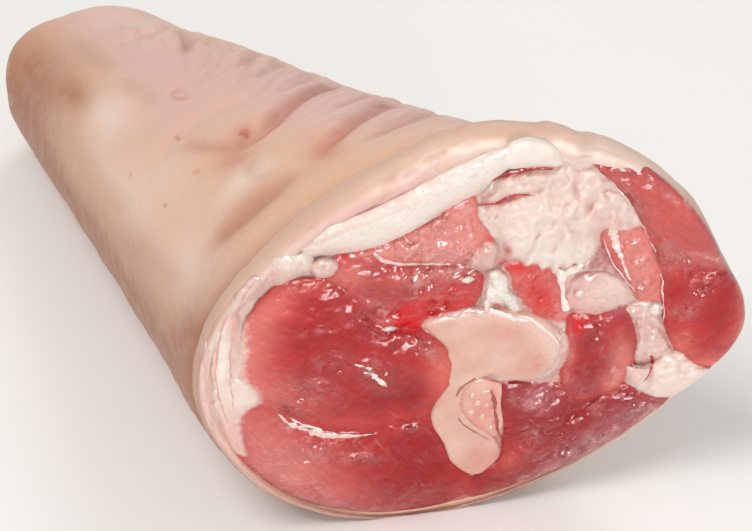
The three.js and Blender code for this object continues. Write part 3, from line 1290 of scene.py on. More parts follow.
    def rows(self) -> tuple[Array, Array, Array]:
        """Lists the rings of the skin by distance, share of the radius and way out of the section.

        Returns:
            The distance, share and inward offset of every ring, from the thin end's middle to the
            closed end behind the big cut.
        """
        rolled = np.radians(np.linspace(90, 0, self.roll_steps + 1)[:-1])
        turned = np.radians(np.linspace(20, 180, 9))
        lip, half = self.cut_share + self.lip_share, self.wall / 2
        blocks = (
            (self.recess, self.cut_share * np.array([0.25, 0.55, 0.85, 1.0]), 0),
            (self.roll * (1 - np.sin(rolled)), lip + (1 - lip) * np.cos(rolled), 0),
            (np.linspace(self.roll, self.edge, self.barrel_steps), 1, 0),
            (self.edge + half * np.sin(turned), 1, half - half * np.cos(turned)),
            (np.array(self.back_places), np.array(self.back_shares), np.array(self.back_insets)),
        )
        distance, share, inward = np.hstack([np.stack(np.broadcast_arrays(*block)) for block in blocks])
        return distance, share, inward

    def build(self, finish: Material) -> Piece:
        """Makes the rind.

        Args:
            finish: The rind's material.

        Returns:
            The rind as one closed piece.
        """
        distance, share, inward = self.rows()
        degrees = np.arange(self.around) * 360 / self.around
        x, angle = np.meshgrid(distance, degrees, indexing="ij")
        change, red, shade = self.relief(x, angle)
        fade = step(share, self.cut_share, 0.9)[:, None]
        radius = (BARREL.radius(x, angle) + change * fade) * share[:, None] - inward[:, None]
        points = BARREL.spot(x, *polar(radius, angle))
        tips = BARREL.spot(np.array([self.recess, self.back_places[-1]]), 0, 0)
        near = np.where(angle > 270, angle - 360, angle)
        # the near side darkens to tan, partly the rind's own tan and partly painted shade where the light
        # falls off
        near_side_shade = 1.1 * step(near, 150, 190) * (1 - 0.4 * step(near, 215, 262))
        side = near_side_shade + 0.45 * (1 - step(near, -20, 45))
        marks = {
            Mark.TAN: side + cover(self.tan_and_shade, x, near),
            Mark.BLUSH: cover(self.blush, x, near),
            Mark.CREAM: cover(self.cream, x, near),
            Mark.RED: red + cover(self.red, x, near),
            # painted shade in the creases, which the finish darkens
            Mark.CREASE: shade,
            Mark.WET: cover(self.wet, x, near),
        }
        return hand_over(closed_skin("rind", points, tips, marks), finish, "hock_meat")


# ---- The rim of the big cut ----


@dataclass
class Rim:
    """The rolled edge of the rind round the big cut."""

    steps: int = 420
    segments: int = 28
    # Direction, half width inwards, half depth, how far it stands out, and how far in it begins.
    shape: tuple[tuple[float, ...], ...] = (
        (0, 1.2, 2.0, -0.6, 0.9), (28, 1.3, 2.2, 0.0, 0.6), (38, 1.7, 2.6, 1.0, 0.2),
        (50, 2.2, 3.0, 1.8, 0.0), (65, 2.9, 3.4, 2.2, 0.0), (80, 4.0, 3.8, 2.6, 0.0),
        (95, 5.0, 4.0, 2.8, 0.0), (110, 4.4, 4.0, 3.0, 0.0), (125, 3.0, 3.6, 2.6, 0.0),
        (140, 2.2, 3.0, 2.0, 0.0), (160, 2.0, 2.6, 1.4, 0.0), (185, 1.8, 2.4, 1.0, 0.0),
        (215, 1.2, 2.0, 0.8, 0.0), (240, 0.7, 1.6, 0.5, 0.0), (280, 0.6, 1.4, 0.3, 0.0),
        (320, 0.7, 1.5, 0.2, 0.1), (345, 1.0, 1.8, -0.4, 0.6),
    )

    def size(self, column: int, degrees: Array) -> Array:
        """Reads one of the edge's sizes in directions round the rim.

        Args:
            column: Which of the sizes.
            degrees: Directions in degrees.

        Returns:
            The size in each direction.
        """
        table = np.array(self.shape)
        places = np.r_[table[-2:, 0] - 360, table[:, 0], table[:2, 0] + 360]
        values = np.r_[table[-2:, column], table[:, column], table[:2, column]]
        return through(places, values, degrees)

    def build(self, finish: Material) -> Piece:
        """Makes the rolled edge.

        Args:
            finish: Its material.

        Returns:
            The edge as one closed ring.
        """
        piece = sheet("rind_edge", self.steps, self.segments)
        along, round_it = (vertices(piece)[:, :2] + 1).T / 2
        degrees = np.mod(np.rint(along * self.steps), self.steps) * 360 / self.steps
        turn = np.mod(np.rint(round_it * self.segments), self.segments) * 2 * math.pi / self.segments
        width, depth, front, inset = (self.size(k, degrees) for k in (1, 2, 3, 4))
        around = flat(*polar(12, degrees))
        rough = 1 + 0.1 * GRAIN.layers(around + flat(0 * turn, np.cos(turn)), 1.0, 2)
        out = BARREL.rim(degrees) - inset - width + width * np.cos(turn) * rough
        height = front - depth + depth * np.sin(turn) * rough
        y, z = polar(out, degrees)
        height += 0.2 * GRAIN.layers(flat(y, z, 8), 5.0, 2)
        height += 0.9 * bump(apart(degrees, 70.5), 3.2) - 0.6 * bump(apart(degrees, 75.5), 3)
        pull = GRAIN.layers(around + 30, 3.0, 2)
        line = bump(np.mod(turn, 2 * math.pi) - 1.5 - 0.9 * pull, 0.2) * step(0.5 + pull, 0.35, 0.6)
        line += bump(np.mod(turn, 2 * math.pi) - 0.8 + 0.8 * pull, 0.16) * step(0.5 - pull, 0.4, 0.6)
        line *= step(apart(degrees, 130), 0, 30) * 0.4 + 0.6
        height -= 0.35 * line * np.minimum(1, depth / 2.4)
        move_vertices(piece, BARREL.spot(BARREL.length, y, z, height))
        outer = step(np.cos(turn), 0.0, 0.6)
        turned = np.maximum(step(np.cos(turn), 0.3, 0.8), step(-np.sin(turn), -0.1, 0.3))
        turned *= 1 - step(degrees, 205, 235) * (1 - step(degrees, 330, 350))
        # the same tan mark: the ring's outer half at the sides, and its bottom
        tan_and_shade = outer * 0.75 * step(apart(degrees, 80), 34, 90) + 1.0 * bump(apart(degrees, 268), 74)
        mark(piece, Mark.TAN, tan_and_shade)
        mark(piece, Mark.BLUSH, 0.7 * bump(apart(degrees, 112), 40) + 0.6 * bump(apart(degrees, 205), 50))
        mark(piece, Mark.CREAM, 0.9 * bump(apart(degrees, 58), 44) + bump(apart(degrees, 165), 50) * 0.5)
        # painted shade along the edge's groove lines
        mark(piece, Mark.CREASE, 0.5 * line)
        mark(piece, Mark.RED, np.clip(turned * (1.2 - 0.8 * bump(apart(degrees, 56), 34)) - tan_and_shade, 0, 1))
        tidy_faces(piece)
        return hand_over(piece, finish)


# ---- The muscle and fat of the big cut ----


@dataclass
class Zone:
    """A muscle or a lump of fat on the cut, laid out as it is seen from above and in front."""

    centre: Place
    outline: tuple[Place, ...]
    dome: float = 1.5
    edge: float = 0.5
    base: float = 0.0
    sink: float = 0.3
    lean: float = 1.0
    fibre: float = 0.0
    lobe: float = 0.0
    rise: float = 0.0
    wave: float = 0.4
    sharp: float = 8.0
    # painted glow: how much lighter and more orange the lean is at the zone's edge, as light shines through
    # it
    rim: float = 0.3
    even: dict[str, float] = field(default_factory=dict)
    marks: dict[str, tuple[Patch, ...]] = field(default_factory=dict)
    swells: tuple[Patch, ...] = ()

    def __post_init__(self) -> None:
        """Works out the outline once."""
        edge = smooth_path(self.outline, 240, closed=True)
        wave = GRAIN.layers(flat(edge[:, 0], edge[:, 1], self.base), 4.0, 3) * self.wave
        off = edge - np.array(self.centre)
        reach = np.linalg.norm(off, axis=1)
        angle = np.arctan2(off[:, 1], off[:, 0])
        order = np.argsort(angle)
        self.angles, self.reaches = angle[order], (reach + wave)[order]

    def share(self, y: Array, z: Array) -> tuple[Array, Array]:
        """Measures how far out a place is, as a share of the way to the edge and beyond the edge.

        Args:
            y: Places across.
            z: Places up.

        Returns:
            The share of the way, and the millimetres beyond the edge.
        """
        off_y, off_z = y - self.centre[0], z - self.centre[1]
        reach = np.interp(np.arctan2(off_z, off_y), self.angles, self.reaches, period=2 * math.pi)
        distance = np.hypot(off_y, off_z)
        return distance / reach, distance - reach

    def height(self, y: Array, z: Array) -> Array:
        """Gives the zone's smooth height over the cut, falling away outside its edge.

        Args:
            y: Places across.
            z: Places up.

        Returns:
            The heights.
        """
        share, beyond = self.share(y, z)
        inner = np.clip(share, 0, 1)
        round_off = (1 - inner**self.sharp) ** 0.65
        height = self.base - self.sink + (self.edge + self.sink) * round_off + self.dome * (1 - inner**2)
        for swell in self.swells:
            height += swell.weight(y, z)
        return height - 1.3 * np.clip(beyond, 0, None)

    def lobes(self, y: Array, z: Array) -> Array:
        """Gives soft curds with creases between them, from 0 in a crease to about 1.

        Args:
            y: Places across.
            z: Places up.

        Returns:
            The curds' relief.
        """
        bend = 1.2 * GRAIN.layers(flat(y, z, 31), 4, 2)
        total = np.zeros_like(y)
        for k, share in enumerate((0.66, 0.3, 0.1)):
            place = flat(y + bend, (z - bend) * 0.75, 7 * k + self.centre[1]) / self.lobe * 2**k
            total += share * np.minimum(np.abs(GRAIN.at(place)) * 2.2, 1)
        return total

    def weight(self, key: Mark, y: Array, z: Array) -> Array:
        """Gives one of the zone's marks at each place.

        Args:
            key: Which mark.
            y: Places across.
            z: Places up.

        Returns:
            The mark's strength.
        """
        patches = self.marks.get(key.value, ())
        return np.clip(self.even.get(key.value, 0.0) + cover(patches, y, z), 0, 1)


def lean_zones() -> list[Zone]:
    """Lays out the muscles.

    Returns:
        The muscles.
    """
    near = Zone(
        (-25, 3),
        (
            (-50.6, 0), (-48.6, 17), (-41, 29.8), (-31, 31), (-22.5, 23.5), (-18, 14), (-12, 12.5),
            (-5.5, 8.5), (-1, 1), (-0.5, -8), (-5, -15), (-8, -19.5), (-14, -21.6), (-22, -21.8),
            (-32, -19.5), (-40, -13.5), (-46.5, -8),
        ),
        3.4, 0.9, sink=-0.1, fibre=-35, rim=0.1,
        marks=dict(
            dark=(P(-28, 13, 12, 9, 0.55, 20), P(-15, -8, 10, 8, 0.6), P(-30, -1, 9, 8, 0.25)),
            salmon=(P(-47, 10, 5.6, 17, 0.65, -8), P(-42, -4, 7, 6, 0.4, -30), P(-41, 24, 4, 7, 0.35, -40)),
            fat=(
                P(-50.4, 8, 3.8, 18, 0.8, -6), P(-48, -3.5, 4.4, 3.6, 0.8, -30),
                # the two small fat patches at (-20, -0.5) and (-17.6, -4) are painted glints
                P(-20, -0.5, 2.4, 1.3, 0.5, -50), P(-17.6, -4, 1.6, 0.9, 0.5, -50),
                P(-31, 14.5, 4, 0.6, 0.35, -10), P(-16.5, 14.4, 1.6, 1.0, 0.5),
            ),
            glow=(P(-4, -3, 3.2, 9, 0.8, 8), P(-34, 29, 6, 3, 0.3), P(-28, -17, 12, 2.4, 0.3, -15)),
            # flecks; those at (-19, -1), (-8, 5) and (-22, 13) are painted glints
            fleck_and_glint=(
                P(-19, -1, 4, 2.4, 0.5, -50), P(-33, -5, 8, 5, 0.3, -45), P(-31, 14.5, 6, 1.0, 0.9),
                P(-8, 5, 6, 1.4, 0.8, -45), P(-22, 13, 6, 1.6, 0.6, -45), P(-30, 3, 5, 4, 0.3, 45),
                P(-37, -14.6, 6, 1.6, 1.0, -44), P(-27, -20.6, 6, 1.2, 0.8, -10),
            ),
            wet=(
                P(-19, -1, 5, 4, 1.0, -50), P(-8, 5.5, 6, 2.4, 1.0, -45), P(-34, -5, 8, 5, 0.8, -45),
                P(-20, 15, 9, 2, 0.9, -45), P(-28, 4, 4, 4, 0.6), P(-12, -19, 5, 1.8, 0.8, 10),
                P(-38, -10, 4, 2, 0.8, -45), P(-26, 26, 6, 2, 0.7, -40),
            ),
        ),
        swells=(
            P(-8, 2, 7, 7, 0.7), P(-25, 2, 6, 10, -0.5, 40), P(-40, 16, 6, 10, 0.5),
            P(-17.4, -4.6, 4.4, 2.4, 1.3, -50), P(-36, -8, 7, 2.2, 0.6, -45), P(-12, 1, 6, 2, 0.7, -45),
        ),
    )
    lower = Zone(
        (-22, -32),
        (
            (-53.6, -6), (-52.2, -20), (-46.8, -30), (-38.5, -40), (-28, -47.5), (-15, -51.5), (-4, -51),
            (3, -47.5), (5.5, -43), (1, -36), (-1, -28), (-4, -18), (-10, -15), (-20, -14), (-30, -12),
            (-38, -7), (-45, -3),
        ),
        2.6, 0.7, base=-0.3, fibre=-60, rim=0.1,
        marks=dict(
            dark=(
                P(-6, -36, 10, 12, 0.6), P(-16, -30, 12, 7, 0.35), P(-14, -44, 14, 5, 0.5, 10),
                P(-6, -49, 18, 2.6, 0.5),
            ),
            salmon=(P(-46, -18, 8, 15, 0.6, 20), P(-36, -32, 10, 9, 0.5), P(-26, -42, 10, 5, 0.3, -20)),
            fat=(P(-51, -10, 3, 7, 0.7),),
            violet=(P(-44, -24, 9, 16, 0.25, 25), P(-30, -45, 18, 3.4, 0.7, -28), P(-6, -49.5, 14, 2, 0.2)),
            fleck_and_glint=(
                P(-36, -17.4, 6, 1.4, 1.0, -40), P(-26, -22, 6, 1.2, 1.0, -8), P(-38, -30, 9, 9, 0.45),
                P(-12, -48.5, 16, 2, 0.2), P(-24, -26, 8, 5, 0.3), P(-34, -41, 12, 4, 0.5, -32),
            ),
            wet=(
                P(-20, -30, 4, 1.6, 1.0, -20), P(-33, -25, 8, 4, 0.7, -20), P(-10, -21.5, 2.4, 1.4),
                P(-42, -33, 6, 5, 0.4), P(-8, -44, 8, 3, 0.5),
            ),
        ),
        swells=(P(-45, -20, 6, 10, 0.6, 20), P(-15, -33, 9, 7, 0.5)),
    )
    upper = Zone(
        (-6, 38),
        (
            (-25, 36.5), (-17, 41), (-9, 46), (-4, 50), (1, 50), (3.6, 43), (6.5, 36.5), (3, 31.5),
            (-2, 30.6), (-9, 31.4), (-16, 33), (-20, 35),
        ),
        # the even fleck over the upper muscle, and its fleck patches, are painted glints
        1.8, 0.5, base=0.3, fibre=30, even=dict(salmon=1.0, wet=0.4, fleck_and_glint=0.5),
        marks=dict(
            dark=(P(-17, 36.5, 4, 3, 0.1),), blood=(P(5.5, 36, 1.4, 3, 0.8),),
            fleck_and_glint=(P(-10, 37, 4, 3, 0.7, 30), P(-5, 31.8, 7, 1.4), P(-4, 44, 5, 2, 0.4, 30)),
            wet=(P(-9, 36, 6, 5, 1.0, 30), P(-2, 32, 8, 2.4), P(-5, 43, 3, 2, 0.8)),
        ),
    )
    belly = Zone(
        (-15, 25),
        (
            (-31, 30), (-29, 37), (-22, 39), (-16.5, 34), (-8, 31.8), (0, 30.5), (4.5, 25), (2.5, 16.5),
            (-4, 12.5), (-12, 10), (-20, 12.5), (-25, 21),
        ),
        1.4, 0.5, fibre=10, rim=0.1, even=dict(salmon=0.15, wet=0.4),
        marks=dict(
            dark=(P(-16, 21, 8, 5, 0.6), P(-18, 31, 6, 3, 0.3)),
            salmon=(P(-26, 32, 5, 6, 0.5), P(-5, 28, 8, 2, 0.5)),
            blood=(P(-6, 18, 9, 6.5, 1.0, 25), P(-27, 36, 4, 2.4, 0.5), P(-13, 14, 7, 4, 1.0, 15)),
            # flecks at (-10, 26) and (-2, 28.4) are painted glints
            fleck_and_glint=(
                P(-10, 26, 3, 4, 0.9), P(-2, 28.4, 6, 2), P(-18, 18, 2, 4, 0.8, 30), P(1, 23, 3, 4, 0.6),
            ),
            wet=(P(-9, 25, 4, 4), P(-2, 28, 6, 3), P(-18, 17, 4, 4, 0.9), P(-5, 19, 4, 4, 0.8)),
        ),
        swells=(P(-6, 18, 5, 2.6, -1.8, 25), P(-14, 27, 5, 4, 0.8), P(1, 22, 3, 3, 0.8)),
    )
    far_top = Zone(
        (48, 36),
        (
            (25.5, 56.5), (34, 56), (42, 52.5), (50, 45), (57, 35), (62, 25), (65, 16), (58, 13), (49, 15),
            (44.5, 20), (42, 27), (39.6, 33.4), (36.5, 39.5), (33.5, 45), (29.5, 51),
        ),
        3.0, 1.0, base=0.1, fibre=-50, rim=0.1, even=dict(salmon=0.3, wet=0.15),
        marks=dict(
            dark=(P(40, 49, 8, 3, 0.3, -35), P(50, 30, 5, 7, 0.35)),
            violet=(P(44, 49, 8, 3, 0.35, -38), P(58, 27, 4, 6, 0.4, 20)),
            fleck_and_glint=(
                P(44, 43, 7, 0.9, 0.8, -40), P(50, 38, 5, 0.9, 0.8, -45), P(49, 25.6, 4, 0.6, 0.9, -5),
                P(56, 22.6, 5, 0.7, 0.8, -30),
            ),
            wet=(
                P(32, 53, 6, 1.0, 0.5, -12), P(44.5, 27, 2.4, 5, 1.0, 20), P(36, 42, 1.8, 9, 1.0, 30),
                P(48, 24, 5, 2, 0.8, -20),
            ),
        ),
        swells=(P(54, 30, 6, 10, 0.8, 25),),
    )
    far_low = Zone(
        (56, 6),
        (
            (44.6, 21), (47, 24.5), (53, 23.5), (59, 21.5), (64, 14), (66.6, 3), (65.6, -5), (61.4, -11.5),
            (55.5, -12.5), (50.5, -6), (47, 2), (45, 11),
        ),
        3.4, 1.1, base=0.3, fibre=75, rim=0.1,
        marks=dict(
            dark=(P(59, 2, 5, 9, 0.3, 10),),
            glow=(P(50.5, -5, 3.4, 6, 0.7, 20), P(57, -11.5, 7, 2.4, 0.7, 10), P(64, 2, 1.8, 10, 0.4, 4)),
            # flecks at (53, 14) and (50.5, 8) are painted glints
            fleck_and_glint=(P(53, 14, 2, 1.4, 0.7, 30), P(50.5, 8, 3, 2.4, 0.5), P(51.5, -1, 1.0, 6, 0.7, 10)),
            wet=(
                P(53, 14, 2.6, 2.4), P(50.5, 8, 3, 3), P(45.6, 20, 1.6, 4), P(49, 20, 1.4, 3),
                P(57, 17, 3, 3, 0.5),
            ),
        ),
        swells=(P(60, 2, 5, 9, 0.8, 10),),
    )
    inside = Zone(
        (38, 25),
        (
            (29.5, 35), (31.5, 39), (36, 38.5), (40.3, 33), (42.8, 26), (44.8, 18), (45.5, 10.5), (42, 10),
            (38.4, 14.5), (36, 20), (33, 26), (30.6, 31),
        ),
        1.0, 0.3, fibre=70, rim=0.0, even=dict(salmon=0.9),
        marks=dict(
            fat=(P(33.5, 38, 5, 2.8, 0.95, -20), P(44, 11, 2, 2, 0.4)), dark=(P(41, 21, 3, 6, 0.3),),
            blood=(P(33.5, 27, 0.8, 5, 0.5, 25),), fleck_and_glint=(P(41, 22, 3, 9, 0.45, 15),),
            wet=(P(36, 28, 4, 8, 0.7, 20), P(40, 17, 2, 4, 1.0, 20)),
        ),
    )
    hollow = Zone(
        (30.5, 27),
        (
            (26.8, 31), (28.5, 35), (30.4, 35), (31.6, 31), (34, 26), (37, 20.5), (38, 17), (33, 18.5),
            (29, 22), (27, 26),
        ),
        0.0, 0.1, base=-0.7, sink=0.2, rim=0.0, even=dict(violet=0.75, dark=0.25),
        marks=dict(fat=(P(29, 21, 4, 2, 0.6), P(37, 17, 3, 2, 0.5)), wet=(P(30, 28, 3, 6, 0.8),)),
    )
    middle = Zone(
        (32, -4),
        (
            (24.4, 10), (28, 10.6), (31, 9.4), (35, 12.6), (37.6, 11), (39.6, 4), (41.2, -6), (38.5, -14),
            (34, -20), (27, -18), (24, -11), (23.6, -3), (24, 4),
        ),
        1.2, 0.4, sink=0.0, fibre=80,
        marks=dict(
            dark=(P(31, -12, 5, 5, 0.4), P(29, 1, 3, 5, 0.25)),
            salmon=(P(38, -6, 3, 8, 0.7, 10), P(36, -14, 3, 4, 0.6, 30), P(25, -2, 1.6, 9, 0.4)),
            violet=(P(35.6, 10.5, 3, 2.4, 0.7), P(28, -14, 4, 4, 0.4)),
            blood=(P(26.6, 6.4, 1.8, 3.6, 0.9),),
            fleck_and_glint=(P(31, -11, 6, 6, 0.35, 20), P(24.8, -1, 1.2, 8, 0.6), P(36.6, -13, 2, 6, 0.9, 20)),
            wet=(P(29, 4, 4, 5, 0.7), P(35, -4, 3, 6, 0.4)),
        ),
        even=dict(dark=0.35), swells=(P(31, 0, 4, 6, 0.5),),
    )
    foot = Zone(
        (24, -29),
        (
            (9.5, -9.5), (18, -10.5), (25, -12.5), (32, -18.5), (38, -14), (46, -17), (51.5, -21.5),
            (47, -29.5), (38.5, -38), (29.5, -44), (18, -47.5), (8, -49.5), (2.6, -47), (5, -41),
            (10.5, -34), (11, -22),
        ),
        1.6, 0.5, base=-0.4, fibre=25, rim=0.1, even=dict(dark=0.65, wet=0.2),
        marks=dict(
            dark=(
                P(13, -14, 3, 3, 0.8), P(22, -25, 6, 5, 0.6, 20), P(30, -24, 8, 4, 0.5, 10),
                P(30, -34, 8, 4, 0.5, 30), P(14, -41, 7, 3, 0.3, 15),
            ),
            glow=(P(13, -37, 4, 4, 0.4, 20),),
            violet=(P(18, -16, 5, 4, 0.7), P(38, -31, 12, 5, 0.7, 38), P(26, -42.5, 16, 3, 0.9, 24)),
            fleck_and_glint=(
                P(17, -17, 6, 5, 0.8), P(33, -22, 8, 2, 0.6, -30), P(36, -31, 12, 4, 0.7, 38),
                P(24, -37, 8, 2, 0.6, 25), P(45, -25, 6, 4, 0.8, 40), P(22, -43.5, 14, 2.4, 0.7, 16),
                P(18, -29, 2, 6, 0.6),
            ),
            wet=(P(30, -36, 8, 4, 0.8, 20), P(18, -30, 6, 6, 0.4), P(43, -24, 7, 5, 0.6)),
        ),
        swells=(P(18, -20, 5, 4, 0.6), P(40, -22, 5, 4, 0.6), P(27, -22, 3, 3, -0.7)),
    )
    bright = Zone(
        (16, 19),
        (
            (8.5, 28), (14, 29.5), (19, 27.5), (21.6, 20), (23.4, 13), (23.6, 8.6), (20, 9), (15.6, 12),
            (11.4, 17),
        ),
        0.4, 0.2, base=-0.4, fibre=70, even=dict(blood=0.3, salmon=0.7),
        marks=dict(
            blood=(P(17, 18, 2.4, 6, 0.8, 25), P(11, 27.5, 4, 1.6, 0.7, -10)),
            fat=(P(13, 14, 3, 2, 0.5, -40), P(22, 12, 1.6, 4, 0.3)),
            fleck_and_glint=(P(13, 21, 1.2, 6, 0.7, 25), P(20, 20, 1, 6, 0.6, 20)), wet=(P(16, 20, 5, 6, 0.8),),
        ),
        swells=(P(15, 22, 1.6, 6, 0.5, 25), P(18.6, 17, 1.2, 5, -0.4, 25)),
    )
    return [near, lower, upper, belly, far_top, far_low, inside, hollow, middle, foot, bright]


def fat_zones() -> list[Zone]:
    """Lays out the fat and gristle.

    Returns:
        The fat and gristle.
    """

    def fat(centre: Place, outline: tuple[Place, ...], dome: float, **more: object) -> Zone:
        """Makes a zone without lean."""
        return Zone(centre, outline, dome, lean=0.0, rim=0.0, **more)

    def blob(y: float, z: float, wide: float, high: float, base: float, **more: object) -> Zone:
        """Makes a small oval zone of white fat."""
        outline = oval(y, z, wide, high, 40)
        return fat((y, z), outline, 0.8, base=base, edge=0.7, even=dict(white=1.0, wet=0.6), **more)

    lump = fat(
        (19, 41),
        (
            (1.5, 45), (3, 50.6), (6.4, 55), (13, 58), (22, 58.4), (27, 55.8), (31, 50), (35, 43.6),
            (38.4, 37.4), (36, 35), (32, 36), (29.6, 36), (28.8, 32), (28, 29), (27, 26.6), (25.6, 25.2),
            (24.2, 26.8), (22.6, 26), (21.4, 27), (20.1, 24.4), (18.8, 27), (17.2, 26.2), (15.8, 28.8),
            (13.8, 28), (12, 30.6), (9.6, 31), (8, 35), (5, 38), (3, 41.6),
        ),
        2.2, edge=1.1, base=0.1, wave=0.4, lobe=6.0, rise=1.7,
        marks=dict(
            white=(P(20, 29, 9, 4, 0.8), P(12, 33, 6, 5, 0.5), P(34, 41, 5, 4, 0.4, -50)),
            blush=(
                P(5, 49, 5, 3, 0.4, 20), P(30, 44, 4, 8, 0.3), P(32, 37, 4, 2, 0.5), P(24, 50, 5, 3, 0.3),
            ),
            red=(
                P(10, 48.4, 4, 0.8, 0.8, 15), P(3, 47.6, 3, 0.7, 0.7), P(26, 43, 1.0, 3, 0.35, 20),
                P(9, 33, 1, 2.4, 0.8, 20), P(9, 55.4, 4.4, 1.1, 1.0, 8), P(15, 56.4, 3.6, 0.6, 0.9, -5),
                P(23, 48, 0.6, 2.4, 0.4, 20),
            ),
        ),
        swells=(
            P(19, 36, 8, 9, 2.0), P(15, 53, 7, 1.6, 0.8, 5), P(33, 44, 3, 5, 0.6, 30),
            P(10, 48.6, 7, 1.0, -0.8, 15),
        ),
    )
    lip = fat(
        (-13, 49.2),
        (
            (-40, 40.4), (-38, 37.6), (-33, 37.8), (-28, 38.4), (-20, 38.5), (-12, 42), (-5, 47), (0, 50.5),
            (4, 54), (7.6, 57), (11, 60), (11.6, 63.8), (6, 63.6), (0, 61.6), (-10, 56.4), (-20, 50.6),
            (-30, 46.6), (-36, 43.4),
        ),
        1.0, edge=1.2, base=2.1, sink=0.8, wave=0.12, sharp=4.0, even=dict(white=0.8, wet=0.3),
        marks=dict(
            blush=(
                P(-30, 38.6, 12, 1.6, 0.4), P(-6, 46.6, 9, 1.2, 0.3, 40), P(-16, 52, 20, 1.6, 0.5, 32),
                P(-22, 45.6, 16, 0.5, 0.35, 22), P(-4, 56.8, 14, 0.6, 0.4, 29),
            ),
        ),
        swells=(P(-38, 41, 7, 8, -2.0), P(-27, 43, 6, 5, -0.4), P(6, 60, 6, 4, 0.9, 35)),
    )
    flap = fat(
        (12.6, 61),
        ((5.6, 58), (6.6, 61), (8.4, 64.4), (13, 64.6), (17.2, 62.4), (19, 59.4), (18.6, 56.5), (12, 57.6)),
        0.4, edge=1.0, base=2.7, sink=1.0, wave=0.08, sharp=5.0, even=dict(white=1.0),
        marks=dict(blush=(P(17, 58, 3, 1.6, 0.3),)),
        swells=(P(9, 63, 2.6, 3.4, 0.7), P(6, 60, 6, 4, 0.3, 35)),
    )
    column = fat(
        (42, 3),
        (
            (37, 10.6), (40, 12.4), (43, 11), (46, 4), (48.4, -3), (50, -8), (44, -9), (40.6, -7),
            (40.6, 1), (38.6, 7),
        ),
        1.0, edge=0.5, lobe=5.0, rise=1.2, even=dict(blush=0.45, wet=0.5),
        marks=dict(blush=(P(40, 6, 2, 5, 0.4, 10),)),
    )
    block = fat(
        (49.6, -13.5),
        (
            (38.5, -8), (42, -10), (45.4, -8), (48, -5.5), (52, -6.5), (56, -11), (60, -14), (58, -18.5),
            (52, -21), (46, -20.5), (40.5, -15.5),
        ),
        1.8, edge=0.9, base=0.2, lobe=6.0, rise=1.3,
        marks=dict(
            white=(P(51, -13, 8, 6, 0.4),), blush=(P(41, -12, 2.4, 4, 0.5),),
            red=(P(44.6, -6.6, 1.4, 1.4), P(44.6, -12, 0.5, 3.4, 0.7)),
        ),
    )
    patch = fat(
        (30.5, 16),
        (
            (23.6, 18), (26, 22.6), (31, 23), (36, 19), (38, 14), (36, 11), (30.6, 9.8), (25.4, 11.6),
            (23.6, 15),
        ),
        0.9, edge=0.4, base=0.0, sink=0.0, lobe=5.0, rise=0.4, even=dict(blush=0.5, wet=0.4),
        marks=dict(
            white=(P(32, 19, 5, 2.4, 0.6, -30),), blush=(P(25.4, 15, 2, 4, 0.6), P(30, 11, 4, 1.6, 0.4)),
            red=(P(24.6, 11.6, 1.8, 1.0, 0.8, -30), P(27, 22.6, 3, 1, 0.4)),
        ),
    )
    wedge = fat(
        (-49, -4.5),
        (
            (-54, 3), (-49.5, 2.4), (-46, -1), (-43.6, -6.6), (-47, -8.4), (-50, -11), (-53, -10),
            (-54.4, -5),
        ),
        0.8, edge=0.5, base=0.6, sink=-0.2, wave=0.8, even=dict(white=0.4, blush=0.2),
        marks=dict(blush=(P(-43.6, -8, 2.4, 2, 0.6), P(-48, -12, 3, 3, 0.4))),
    )
    nodule = fat(
        (-37.4, 35.4),
        (
            (-43.4, 32.6), (-43.4, 37), (-40, 40.6), (-35, 40.2), (-32.6, 37), (-33.4, 33.6), (-36, 32.6),
            (-40, 30.4),
        ),
        2.0, edge=1.0, base=0.2, lobe=6.0, rise=0.8, even=dict(wet=0.4),
        marks=dict(blush=(P(-41, 34, 3, 5, 0.5),), white=(P(-37, 38, 4, 1.6, 0.8),)),
    )
    nodule_end = fat(
        (-30.6, 33.6), ((-33.6, 34), (-31.6, 37), (-28.6, 36.4), (-27.4, 33.6), (-29, 31), (-32, 31.4)),
        1.2, edge=0.9, base=0.3, lobe=4.0, rise=0.4, even=dict(blush=0.4, wet=0.5),
    )
    nub = fat(
        (4.2, 32.4), ((0.6, 29.6), (1.6, 33.5), (4, 36.2), (7, 35.2), (7.3, 32), (6, 28.2), (3, 28.4)), 1.6,
        edge=0.8, base=0.2, sink=0.0, wave=0.08, even=dict(blush=0.7, wet=0.7),
    )
    tendon = fat(
        (8, 20.5),
        (
            (5.4, 26.4), (7.6, 27), (9.8, 24), (10.2, 20.6), (12.4, 17.6), (12.6, 14), (10.6, 14.6),
            (9.2, 16.6), (7, 16.2), (5.2, 17), (4.8, 19.6), (5.4, 23),
        ),
        0.9, edge=0.5, base=0.9, sink=0.0, wave=0.1, lobe=4.0, rise=0.4, even=dict(white=1.0, wet=0.8),
        marks=dict(red=(P(7.4, 16.4, 1.8, 0.6, 1.0, -25),)),
    )
    gristle = fat(
        (10, 4),
        (
            (-9.5, 13.4), (-3, 16), (3, 16.4), (9, 14.4), (14, 12), (19.4, 8.6), (24, 4), (25.6, -1),
            (24, -6), (19, -10), (14, -8), (4, -3), (-2, -2), (-3, 2), (-6, 8),
        ),
        0.0, edge=0.9, base=0.1, sink=0.2, wave=0.2, even=dict(white=0.3, blush=0.5, wet=0.8),
        marks=dict(
            blush=(P(24, -4, 2, 5, 0.5), P(-2, 15, 6, 1.4, 0.5)), white=(P(16, 10, 5, 2, 0.7, -35),),
        ),
    )
